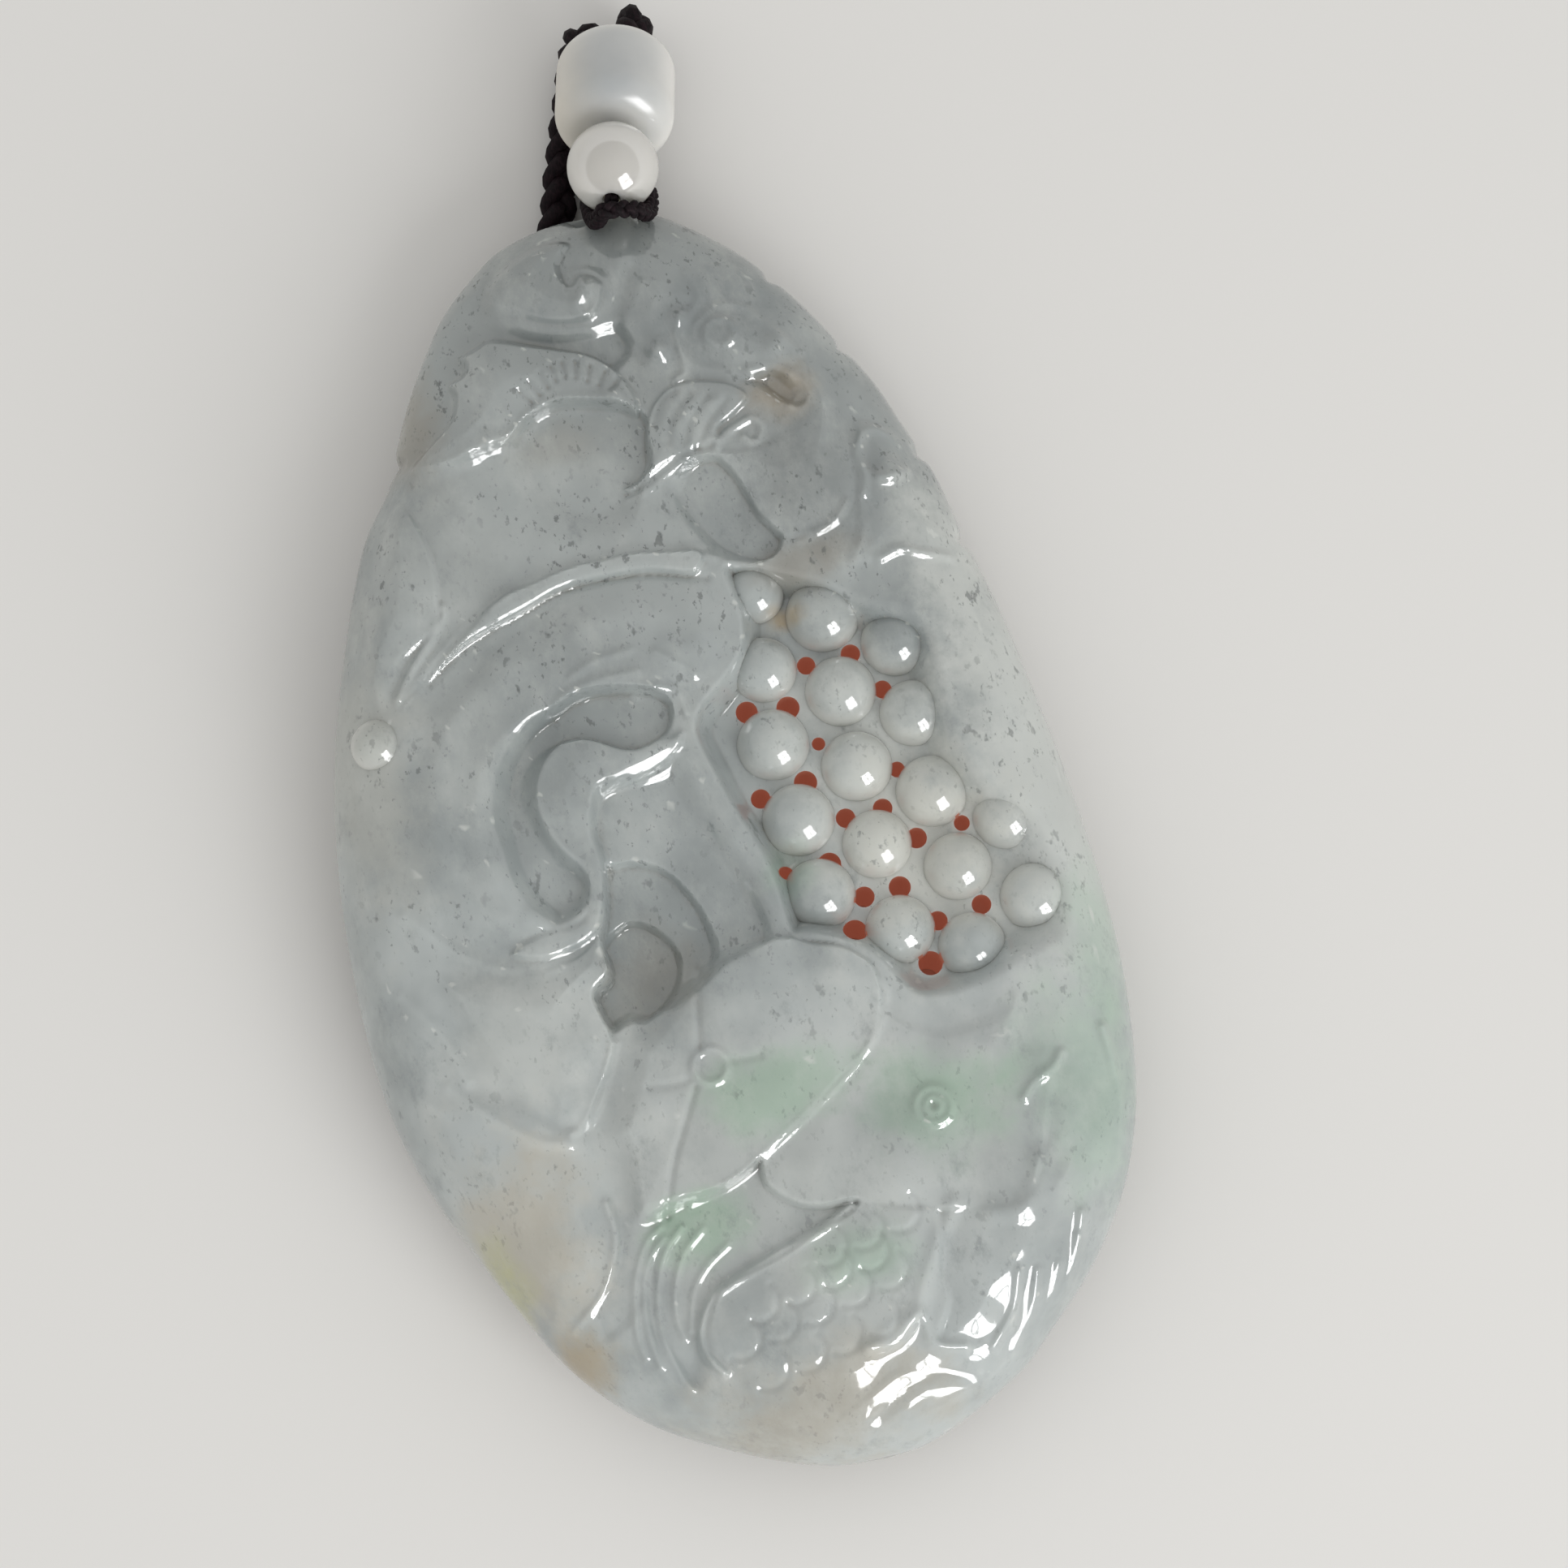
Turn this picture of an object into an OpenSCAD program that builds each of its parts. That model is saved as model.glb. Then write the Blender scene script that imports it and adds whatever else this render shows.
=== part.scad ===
// Carved jade pendant lying on its back, with a round bead, a barrel bead and a braided cord.
// Millimetres. +Z is up, +Y runs to the pendant's pointed top, and the carved face looks up.
// The origin is the middle of the pendant's flat back, on the surface that it lies on.

/* [Pendant] */
// Thickness in the middle
thickness = 11; // [10:0.5:13]
// How much thinner the pointed top is than the middle
top_thinning = 1.4; // [0:0.2:2]
// Height of the widest line round the edge
rim_height = 5.4; // [5.2:0.1:5.8]
// How far in from the edge the face has risen to its full height
shoulder_width = 6; // [4:0.5:8]
// How far in from the edge the back comes down to the flat
bevel_width = 8; // [7.6:0.1:9]
// Depth of the carving, as a share of the real one
relief = 1; // [0.4:0.1:1.2]
// Fewest rows of points that the face is drawn with
rows = 70; // [40:1:74]
// Points across each row of the face
columns = 38; // [24:2:40]

/* [Ball lattice] */
// Width of the widest holes drilled between the balls
lattice_hole_d = 1.6; // [1:0.1:1.8]
// Height of the balls' middles
ball_height = 8.3; // [8:0.1:8.6]
// Radius of the pearl near the left edge
pearl_r = 1.8; // [1.4:0.1:2.2]
// How far the pearl stands up above the face
pearl_rise = 0.5; // [0.2:0.1:1]

/* [Beads] */
// Width of the round bead
round_bead_d = 6.1; // [5:0.1:6.4]
// Width of the barrel bead
barrel_d = 8; // [6:0.1:8.1]
// Length of the barrel bead
barrel_l = 7.4; // [6:0.1:7.5]
// Radius that rounds the ends of the barrel bead
barrel_rounding = 1.8; // [1:0.1:2.8]
// Width of the bores through the beads
bead_bore_d = 1.2; // [1.1:0.1:1.8]
// How steeply the beads slope down, away from the pendant
bead_slope = 28; // [24:1:29]

/* [Cord] */
// Thickness of the braided carrying cord
cord_d = 2.6; // [2:0.1:2.6]
// Thickness of the small loop through the pendant
loop_d = 1.2; // [0.8:0.1:1.2]
// Width of the two slanted bores for the small loop
loop_bore_d = 1.9; // [1.7:0.1:2]
// Thickness of the thread through the beads
thread_d = 1; // [0.6:0.1:1]

/* [Hidden] */

jade = [0.70, 0.73, 0.71];
white_jade = [0.86, 0.86, 0.83];
dark_cord = [0.16, 0.10, 0.12];

clearance = 0.15;
cord_sides = 8;
cutter_side = 150;

// The pendant's outline: height along the pendant, left edge, right edge, top to bottom.
Y = 0;
LEFT = 1;
RIGHT = 2;
outline_rows = [
    [42.4, -1.0, 3.8],
    [41.5, -4.7, 6.2],
    [40.0, -7.0, 8.3],
    [38.0, -9.3, 10.6],
    [36.0, -10.8, 12.3],
    [33.0, -12.7, 14.4],
    [30.0, -14.2, 16.1],
    [27.0, -15.5, 17.7],
    [24.0, -17.7, 18.8],
    [20.0, -19.5, 20.2],
    [15.0, -21.3, 21.2],
    [10.0, -22.8, 22.3],
    [5.0, -23.8, 23.1],
    [0.0, -24.4, 23.8],
    [-5.0, -24.6, 24.3],
    [-10.0, -24.5, 24.6],
    [-15.0, -23.9, 24.6],
    [-20.0, -22.4, 24.1],
    [-24.0, -20.6, 23.3],
    [-28.0, -18.7, 21.8],
    [-31.0, -17.2, 20.0],
    [-34.0, -15.1, 17.6],
    [-37.0, -12.0, 14.4],
    [-39.0, -8.8, 12.0],
    [-41.0, -4.7, 8.2],
    [-42.0, -1.8, 5.6],
    [-42.4, 0.4, 3.6],
];
top_y = outline_rows[0][Y];
bottom_y = outline_rows[len(outline_rows) - 1][Y];

// The carved forms, from the lowest to the one on top: name, level against the plain face, crown,
// width of the rounded border, outline.
NAME = 0;
LEVEL = 1;
CROWN = 2;
BORDER = 3;
SHAPE = 4;
forms = [
    ["ground at the upper left", -0.7, 0, 2,
        [[-17.5, 26.5], [-16.5, 31], [-13.5, 36], [-10, 39.5], [-6.5, 38.2], [-6, 36.5], [-4, 34.9],
         [-2, 34.2], [0, 34], [2.5, 34], [2.5, 31.5], [0, 30], [-6, 29], [-9, 27], [-13.5, 26.5]]],
    ["hollow under the tongue leaf", -0.95, 0, 2.4,
        [[2.1, 27.6], [0.5, 29.3], [-1.75, 30], [-4.5, 30.3], [-6.5, 29.25], [-8, 27.25],
         [-8.5, 24.5], [-7, 20.5], [-3, 18.5], [0, 20], [1.25, 22.5], [2.25, 24], [2.5, 25.75]]],
    ["brown hollow", -0.9, 0, 1.7,
        [[7.8, 29.3], [9.1, 29], [10.7, 28.9], [12, 28.2], [12.8, 27.3], [13.1, 26.5], [12.9, 25.6],
         [11.9, 25.2], [10.7, 26], [9.5, 26.8], [8, 27.6]]],
    ["tongue leaf", 0.5, 0.6, 1,
        [[-13.9, 27.5], [-12.3, 28.7], [-10.6, 29.9], [-10.1, 31.4], [-10.3, 32.5], [-9.1, 33],
         [-9.1, 34.2], [-8, 34.6], [-6.6, 34.9], [-4.5, 34], [-2.2, 33], [-0.1, 32], [1.4, 30.3],
         [2.1, 28.2], [1.7, 27.1], [0.5, 27.9], [-1.7, 28.6], [-3.5, 28.9], [-5.1, 28.4],
         [-6.3, 27.5], [-7.7, 27], [-9.3, 26.7], [-11.3, 26.4], [-13.5, 26.7]]],
    ["hollow beside the right leaf", -1.05, 0, 2,
        [[2, 23.2], [5.6, 23.6], [6.9, 22.5], [7.6, 20.7], [8.2, 18.8], [9.3, 17.3], [8.3, 15.8],
         [5, 15.8], [2.5, 18], [1.2, 21]]],
    ["veined curl leaf", 0.4, 0.6, 1,
        [[1.75, 25.75], [2.25, 27], [3, 28], [4.25, 28.75], [6.25, 28.75], [8.25, 28],
         [9.25, 26.75], [8, 25.75], [6.75, 25], [6.75, 24], [4.5, 23.75], [2, 22.75], [0.25, 22],
         [-0.5, 22.75], [0.75, 23.25], [1.5, 24.25]]],
    ["right leaf", 0.2, 0.6, 1,
        [[6, 23.5], [7.25, 22.5], [7.75, 20.75], [7.75, 19.5], [8.25, 18], [9.25, 16.75],
         [11.5, 16.5], [13.5, 17.25], [14.75, 19], [15.5, 21.25], [15.25, 23.5], [14.75, 26],
         [13.5, 26.75], [12.25, 25.25], [10.5, 24], [8.75, 23.5]]],
    ["left lobe", 0.35, 0.6, 1.4,
        [[-15.25, 25.5], [-14.25, 24.5], [-13.5, 22], [-13.25, 19.75], [-13.5, 17.75], [-14, 16],
         [-16.5, 14.25], [-17.75, 12], [-19, 11.25], [-20.25, 12.25], [-20.75, 13.5],
         [-18.75, 19.5], [-16.75, 23.25]]],
    ["big leaf", 0, 0.9, 2.4,
        [[-17.25, 11], [-16.5, 11.75], [-11.75, 14.5], [-8.75, 15.5], [-6, 16.5], [-3.5, 16.75],
         [0, 16.5], [2.5, 15.75], [3.75, 15], [5, 13.25], [5.25, 11], [3.75, 9], [2, 8.25],
         [0.25, 7], [-0.25, 5.75], [-0.25, 4.5], [-1, 3.75], [-5.5, 3.25], [-6.5, 2.75],
         [-6.75, 0.25], [-6.75, -2], [-7, -4], [-8.25, -5.75], [-10.5, -6.5], [-13.75, -6.75],
         [-16.75, -5.5], [-18.75, -3.5], [-19.5, -0.5], [-20.25, 2.25], [-20, 5.5], [-19, 8]]],
    ["trough beside the ribbon", -0.8, 0, 2.4,
        [[-0.25, 7.75], [-1.5, 9], [-4, 9.75], [-6.25, 9.75], [-8, 9.25], [-10.25, 8.75],
         [-12.75, 7], [-14.25, 4.25], [-14.5, 1.25], [-14, -2], [-12.5, -4.25], [-10.5, -5.5],
         [-8.5, -4.25], [-7.75, -2.25], [-9, 0], [-9.5, 2], [-9.5, 4.25], [-8.25, 6], [-6.25, 6.25],
         [-3.75, 5], [-1, 5.75]]],
    ["rolled rim of the big leaf", 0.6, 0.3, 0.9,
        [[-17.5, 11.75], [-16, 12.5], [-14.25, 14.25], [-12.25, 15.75], [-9.75, 17.25],
         [-7.5, 17.75], [-4.75, 18.25], [-2.75, 18.25], [-0.75, 18.25], [2, 17.75], [3.5, 17.5],
         [4, 16.7], [3.25, 15.8], [2.5, 15.75], [0, 16.5], [-3.5, 16.75], [-6, 16.5], [-8.75, 15.5],
         [-11.75, 14.5], [-14.25, 13.25], [-16.5, 11.75], [-17.5, 11]]],
    ["outer crescent", -1, 0, 1.2,
        [[-0.5, 5.4], [0, 4], [0.9, 1], [1.9, -2], [2.7, -5], [3, -8.5], [1, -10.5], [-5, -11],
         [-7.5, -9.5], [-8.4, -7.5], [-8.3, -6.2], [-7.6, -4.3], [-7.1, -1.5], [-7.3, 0.8],
         [-6.5, 3.3], [-5, 3.9], [-2.5, 4.5]]],
    ["inner crescent", -2, 0, 1.5,
        [[-7.1, -1.6], [-6.2, -1.5], [-5, -1.6], [-3.25, -2.5], [-2, -4.25], [-1.1, -6.5],
         [-0.8, -9], [-2, -11.5], [-5.5, -12], [-8, -10.5], [-8.4, -8], [-8.4, -6.3],
         [-7.6, -4.3]]],
    ["deep hollow", -2.8, 0, 1.8,
        [[-8.3, -6.4], [-6.75, -5.3], [-5.5, -5.4], [-4.25, -6.4], [-3.4, -8], [-3.7, -10],
         [-5, -11.6], [-7, -12.6], [-8.6, -13.4], [-9.2, -12.3], [-9.6, -10.6], [-9.5, -9.4],
         [-8.4, -8.6], [-8.3, -7.5]]],
    ["ribbon", 0.5, 0.3, 1,
        [[0, 6], [-3.25, 5.5], [-6.5, 7], [-8.5, 6.75], [-10, 5], [-10.5, 3.25], [-10, 1],
         [-8.75, -1.25], [-8.5, -3], [-9, -4.5], [-10, -5], [-11.75, -5], [-13.5, -5.5],
         [-14.25, -6.25], [-12.25, -7], [-10, -6.75], [-8.25, -6], [-7.25, -4.25], [-6.75, -1.5],
         [-7, 0.75], [-6.25, 3], [-5, 3.5], [-2.25, 4], [-0.25, 4.75]]],
    ["ground beside the long leaf", -0.25, 0, 1.2,
        [[-13, -17], [-10, -12.5], [-7, -11], [-5, -14], [-6, -20], [-7.5, -25], [-10.5, -30],
         [-14, -31.5], [-14, -25]]],
    ["long leaf", 0, 0.8, 1.6,
        [[-24, -11.5], [-20, -12.5], [-16, -14], [-13, -15.5], [-11.25, -18.25], [-10.75, -21],
         [-10.75, -25], [-11.5, -27], [-12.75, -28.5], [-14.75, -30.5], [-16.5, -31.25],
         [-17.75, -30.75], [-19.25, -27.25], [-21.25, -21.5]]],
    ["lower leaf", 0.2, 0.8, 1.4,
        [[-17.75, -5.5], [-14.75, -6.5], [-12.25, -7.25], [-10, -7], [-8.25, -6], [-8, -7.5],
         [-8, -8.5], [-9.25, -9.5], [-9.25, -10.5], [-8.75, -12.25], [-8.75, -13.25],
         [-9.5, -14.75], [-10.5, -16.25], [-11.75, -18], [-13, -18.25], [-14, -18],
         [-16.25, -15.75], [-18.25, -12.75], [-19.75, -9.75], [-20.25, -7], [-19.5, -5]]],
    ["ground above the fish", -0.7, 0, 1.2,
        [[-10, -24], [-6, -21], [-2, -18.5], [4, -16], [9, -15], [12, -22], [9, -27.5], [4, -29],
         [-2, -30.5], [-6, -32.5], [-8, -36], [-10, -35], [-11.5, -31], [-11, -27]]],
    ["fish body", 0, 0.65, 1.2,
        [[5, -25.5], [3.5, -26.75], [1.25, -27.5], [-1.5, -28.5], [-5, -29.5], [-6.25, -30.25],
         [-7.5, -32.25], [-7.5, -33.75], [-6.75, -35.25], [-4, -37.25], [-0.75, -38.75],
         [2.5, -38.75], [4.75, -37], [6.75, -35.5], [8, -33.75], [8.75, -31.75], [9.75, -28.75],
         [10.5, -26.5]]],
    ["tail fin", -0.3, 0.6, 1.2,
        [[9.25, -26.5], [12, -26], [16, -26], [19, -25], [19.25, -28.25], [17.25, -32],
         [14.5, -34.5], [10.75, -37], [8, -37], [6.75, -36], [8, -33.75], [8, -31.5]]],
    ["second leaf", 0.2, 0.3, 1,
        [[7.5, -13.5], [11.25, -16.5], [14, -16.5], [15.5, -16], [16.25, -15.25], [17, -15],
         [17.75, -15.5], [17.75, -16.75], [17, -18.75], [18.25, -19.25], [18.75, -20.5],
         [18.75, -21.75], [18, -22.75], [17, -25], [16, -27], [15.25, -28.25], [13.75, -29],
         [11, -28.75], [6, -27.5], [3.75, -26.5], [2, -26.5], [0.25, -26], [-1.25, -24.75],
         [-1.75, -23.5], [-1, -21], [2, -18.5], [5, -16]]],
    ["lotus pad", 0.6, 0.3, 0.9,
        [[-8.5, -12.5], [-7, -12], [-5.5, -11], [-4.25, -10], [-2.25, -9.25], [-1, -8.75],
         [1.5, -8.5], [3.5, -8.75], [5, -9.5], [7, -10.25], [8.5, -11.75], [8.75, -13.75],
         [8, -15.75], [7, -17.25], [5, -18.5], [2.5, -20.25], [0, -21.75], [-2, -23],
         [-3.75, -23.75], [-6.5, -24.25], [-9.25, -25], [-10.5, -24], [-10.75, -20.75],
         [-11.25, -18.5], [-9.75, -15.75], [-9, -13.75]]],
    ["bowl of the ball lattice", -2.4, 0, 1.6,
        [[4.75, 16], [6.5, 16], [8.5, 15], [11, 13.75], [13.25, 12], [15.75, 10.75], [17.5, 9],
         [17.5, 5.75], [17.5, 1.75], [19, -1.75], [21.5, -4.5], [22.5, -9.25], [21.25, -12.75],
         [17.75, -14], [15.25, -14.75], [12.25, -15], [10.25, -14.25], [9, -12], [7.5, -10.25],
         [5, -9], [3.6, -8.5], [3.3, -5], [2.5, -2], [1.5, 1], [0.7, 4.2], [0.5, 5.9], [1.2, 7.3],
         [2.75, 8.5], [4.5, 10.25], [5.1, 12.5]]],
];

// The lattice's balls: across, along, radius.
ACROSS = 0;
ALONG = 1;
RADIUS = 2;
balls = [
    [6.5, 14.1, 2], [10.6, 11.7, 2.45], [14.8, 8.9, 2.25], [6.0, 9.0, 2.2], [10.6, 6.5, 2.35],
    [14.9, 4.0, 2.25], [5.5, 4.0, 2.4], [10.5, 1.4, 2.35], [14.9, -1.3, 2.4], [19.2, -4.0, 2.2],
    [6.0, -1.2, 2.4], [10.6, -3.9, 2.3], [15.4, -6.5, 2.25], [6.2, -6.3, 2.4], [10.8, -9.7, 2.3],
    [15.1, -11.8, 2.25], [19.8, -9.6, 2.3],
];
// The holes drilled right through between the balls: across, along, share of the full width.
SHARE = 2;
lattice_holes = [
    [8.8, 8.7, 0.75], [11.8, 8.8, 0.8], [4.3, 6.5, 0.9], [7.0, 6.2, 0.95], [13.3, 6.0, 0.75],
    [8.4, 3.4, 0.55], [7.0, 1.1, 0.95], [3.9, 0.7, 0.8], [13.0, 0.6, 0.65], [9.0, -1.8, 0.8],
    [11.5, -1.7, 0.8], [13.2, -4.1, 0.85], [7.3, -4.5, 0.95], [4.4, -4.5, 0.6], [9.0, -7.1, 0.85],
    [11.4, -7.0, 0.9], [7.9, -9.2, 1], [13.3, -9.7, 0.8], [12.2, -12.3, 1], [16.3, -9.3, 0.8],
    [16.3, -3.8, 0.65],
];
pearl_at = [-19.6, 9.5];

// The two slanted bores meet in a small chamber behind the pendant's top edge.
bore_mouths = [[1.9, 43.2], [5.8, 43.0]];
bore_meeting = [3.8, 38.6];
bore_height = 6;
chamber_r = 1.9;

// The beads lie on one straight line. It turns this far from the pendant's long axis.
bead_turn = -13;
round_bead_at = [3.8, 44.0, 10.5];
barrel_start = round_bead_d / 2 + clearance;
barrel_end = barrel_start + barrel_l;
thread_reach = 3.2;

// The small loop: out of the round bead, into the pendant's top edge and back. It is closed.
loop_route = [
    [3.1, 40.6, 12.3], [2.5, 40.7, 12.0], [2.3, 40.7, 11.3], [2.1, 40.7, 10.6], [1.9, 40.9, 9.7],
    [1.8, 41.3, 8.9], [1.7, 41.9, 8.2], [1.7, 42.6, 7.5], [1.7, 43.2, 6.8], [1.9, 43.1, 6.2],
    [2.2, 42.4, 6.0], [2.6, 41.4, 6.0], [3.0, 40.4, 6.0], [3.1, 39.6, 6.0], [3.3, 38.9, 6.0],
    [3.8, 38.6, 6.0], [4.3, 38.9, 6.0], [4.6, 39.6, 6.0], [4.6, 40.4, 6.0], [5.1, 41.4, 6.0],
    [5.5, 42.4, 6.0], [5.8, 43.0, 6.2], [5.9, 43.1, 6.8], [5.9, 42.6, 7.5], [5.8, 41.9, 8.1],
    [5.6, 41.2, 8.8], [5.4, 40.7, 9.7], [5.1, 40.5, 10.6], [4.8, 40.5, 11.4], [4.1, 40.5, 12.1],
];

// The carrying cord: out of the barrel bead, back under it, once round under the pendant's edge
// and back into the barrel bead.
cord_route = [
    [4.4, 53.6, 5.45], [4.5, 54.5, 5.0], [4.2, 55.2, 4.4], [3.8, 55.5, 3.5], [3.5, 55.2, 2.5],
    [3.2, 54.5, 1.7], [2.8, 53.6, 1.35], [2.2, 51.8, 1.35], [1.2, 49.0, 1.35], [0.3, 46.4, 1.35],
    [-0.6, 43.6, 1.35], [-2.0, 41.0, 1.35], [-4.2, 38.6, 1.35], [-6.8, 36.2, 1.35],
    [-8.8, 33.2, 1.35], [-10.6, 29.8, 1.35], [-12.4, 26.0, 1.35], [-15.0, 22.1, 1.35],
    [-17.0, 17.6, 1.35], [-18.8, 12.4, 1.35], [-20.2, 7.0, 1.35], [-21.0, 1.4, 1.35],
    [-21.4, -4.4, 1.35], [-21.3, -10.0, 1.35], [-20.5, -15.4, 1.35], [-19.0, -20.2, 1.35],
    [-16.8, -24.8, 1.35], [-14.6, -28.8, 1.35], [-12.3, -32.3, 1.35], [-9.0, -35.2, 1.35],
    [-5.2, -37.4, 1.35], [-1.0, -38.8, 1.35], [3.4, -39.2, 1.35], [7.8, -38.0, 1.35],
    [11.7, -35.3, 1.35], [15.2, -31.9, 1.35], [18.2, -28.0, 1.35], [20.2, -23.5, 1.35],
    [21.1, -18.4, 1.35], [21.4, -13.0, 1.35], [21.2, -7.6, 1.35], [20.7, -2.0, 1.35],
    [20.0, 3.6, 1.35], [19.1, 9.2, 1.35], [18.0, 14.9, 1.35], [16.6, 20.4, 1.35],
    [14.8, 25.4, 1.35], [12.5, 29.9, 1.35], [10.0, 34.0, 1.35], [6.8, 37.0, 1.35],
    [4.2, 39.4, 1.35], [2.7, 41.8, 1.35], [2.7, 44.6, 1.35], [3.9, 47.4, 1.35], [5.4, 50.0, 1.35],
    [6.8, 52.2, 1.35], [7.4, 53.9, 1.4], [7.6, 55.2, 1.9], [7.7, 55.9, 2.9], [7.7, 55.8, 3.9],
    [7.5, 55.0, 4.6], [7.3, 54.0, 5.0], [7.15, 53.0, 5.45],
];

// A soft step from 0 to 1
function smooth(t) = let (c = min(1, max(0, t))) c * c * (3 - 2 * c);

// Distance from a point to a straight edge
function edge_distance(p, a, b) =
    let (ab = b - a, t = min(1, max(0, (p - a) * ab / (ab * ab))))
    norm(p - a - t * ab);

function next(shape, i) = shape[(i + 1) % len(shape)];

function shape_distance(p, shape) =
    min([for (i = [0:len(shape) - 1]) edge_distance(p, shape[i], next(shape, i))]);

// Whether a point is inside a shape: it is where a ray to the right crosses the edge an odd number of times
function inside(p, shape) =
    len([for (i = [0:len(shape) - 1])
        let (a = shape[i], b = next(shape, i))
        if ((a.y > p.y) != (b.y > p.y) && p.x < a.x + (p.y - a.y) * (b.x - a.x) / (b.y - a.y)) i
    ]) % 2 == 1;

outline = concat(
    [for (row = outline_rows) [row[RIGHT], row[Y]]],
    [for (i = [len(outline_rows) - 1:-1:0]) [outline_rows[i][LEFT], outline_rows[i][Y]]]
);
left_edge = [for (row = outline_rows) [row[Y], row[LEFT]]];
right_edge = [for (row = outline_rows) [row[Y], row[RIGHT]]];

// The carving's height at a point, each form laid over the ones before it
function carved(p, i = 0, height = 0) =
    i == len(forms) ? height :
    !inside(p, forms[i][SHAPE]) ? carved(p, i + 1, height) :
    let (
        depth = shape_distance(p, forms[i][SHAPE]),
        top = forms[i][LEVEL] + forms[i][CROWN] * smooth(depth / (2 * forms[i][BORDER])),
        share = smooth(depth / forms[i][BORDER])
    )
    carved(p, i + 1, height * (1 - share) + top * share);

function full_height(y) = thickness - top_thinning * smooth(y / top_y);

function face_z(p, depth) =
    let (t = 1 - min(1, depth / shoulder_width))
    rim_height + (full_height(p.y) - rim_height) * sqrt(max(0, 1 - t * t))
    + relief * carved(p) * smooth(depth / 3);

// The back's bevel runs on below the flat back, which is cut off level afterwards.
bevel_run = 1.1 * bevel_width;
function back_z(depth) = rim_height * (1 - min(depth, bevel_run) / bevel_width);

// Rows and columns stand closer together near the edges.
function closer_at_ends(t) = 0.55 * t + 0.225 * (1 - cos(180 * t));

function across(y, t) =
    let (left = lookup(y, left_edge), right = lookup(y, right_edge))
    left + (right - left) * closer_at_ends(t);

back_columns = 18;

function row_points(y) = concat(
    [for (i = [0:columns])
        let (p = [across(y, i / columns), y], depth = shape_distance(p, outline))
        [p.x, p.y, i == 0 || i == columns ? rim_height : face_z(p, depth)]],
    [for (i = [back_columns - 1:-1:1])
        let (p = [across(y, i / back_columns), y], depth = shape_distance(p, outline))
        [p.x, p.y, back_z(depth)]]
);

// A closed skin over rings of points, drawn to a point at each end
module skin(rings, first, last) {
    count = len(rings[0]);
    end = len(rings) * count;
    points = concat([for (ring = rings) each ring], [first, last]);
    sides = [for (j = [0:len(rings) - 2], i = [0:count - 1])
        let (a = j * count + i, b = j * count + (i + 1) % count)
        each [[a, b, b + count], [a, b + count, a + count]]];
    caps = [for (i = [0:count - 1])
        let (k = (i + 1) % count)
        each [[end, k, i], [end + 1, end - count + i, end - count + k]]];
    polyhedron(points = points, faces = concat(sides, caps), convexity = 10);
}

module slab() {
    ys = [for (j = [1:rows - 1]) top_y + (bottom_y - top_y) * closer_at_ends(j / rows)];
    middle_top = (outline_rows[0][LEFT] + outline_rows[0][RIGHT]) / 2;
    last_row = outline_rows[len(outline_rows) - 1];
    middle_bottom = (last_row[LEFT] + last_row[RIGHT]) / 2;
    skin(
        [for (y = ys) row_points(y)],
        [middle_top, top_y, rim_height],
        [middle_bottom, bottom_y, rim_height]
    );
}

// A slanted bore in from the pendant's top edge to the chamber
module loop_bore(mouth) {
    reach = bore_meeting - mouth;
    translate([mouth.x, mouth.y, bore_height])
        rotate([0, 90, atan2(reach.y, reach.x)])
        cylinder(d = loop_bore_d, h = norm(reach), $fn = 32);
}

// The slab with the holes drilled through it. The balls stand over the holes' edges.
module drilled_slab() difference() {
    slab();
    for (hole = lattice_holes)
        translate([hole.x, hole.y, -1])
            cylinder(d = hole[SHARE] * lattice_hole_d, h = thickness + 2, $fn = 32);
}

module pendant() color(jade) difference() {
    union() {
        drilled_slab();
        for (ball = balls)
            translate([ball[ACROSS], ball[ALONG], ball_height]) sphere(r = ball[RADIUS], $fn = 48);
        translate([pearl_at.x, pearl_at.y, full_height(pearl_at.y) - pearl_r + pearl_rise])
            sphere(r = pearl_r, $fn = 48);
    }
    translate([-cutter_side / 2, -cutter_side / 2, -cutter_side]) cube(cutter_side);
    for (mouth = bore_mouths) loop_bore(mouth);
    translate([bore_meeting.x, bore_meeting.y, bore_height]) sphere(r = chamber_r, $fn = 48);
}

// Places its children on the beads' line, with Z running away from the pendant
module on_bead_line()
    translate(round_bead_at) rotate([0, 0, bead_turn]) rotate([-90 - bead_slope, 0, 0]) children();

module bead_bore()
    translate([0, 0, -barrel_end]) cylinder(d = bead_bore_d, h = 3 * barrel_end, $fn = 32);

module round_bead() color(white_jade) on_bead_line() difference() {
    sphere(d = round_bead_d, $fn = 64);
    bead_bore();
}

// Half of the barrel's section: out along one end, round its corner and back along the other
function barrel_section() =
    let (r = barrel_d / 2 - barrel_rounding, steps = 6)
    concat(
        [[0, barrel_start]],
        [for (i = [0:steps])
            let (a = 90 * i / steps)
            [r + barrel_rounding * sin(a), barrel_start + barrel_rounding * (1 - cos(a))]],
        [for (i = [steps:-1:0])
            let (a = 90 * i / steps)
            [r + barrel_rounding * sin(a), barrel_end - barrel_rounding * (1 - cos(a))]],
        [[0, barrel_end]]
    );

module barrel_bead() color(white_jade) on_bead_line() difference() {
    rotate_extrude($fn = 64) polygon(barrel_section());
    bead_bore();
}

// The thread runs from the small loop to the barrel bead's far end.
module bead_thread() color(dark_cord) on_bead_line()
    translate([0, 0, -thread_reach]) cylinder(d = thread_d, h = barrel_end + thread_reach, $fn = 24);

function unit(v) = v / norm(v);

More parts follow.
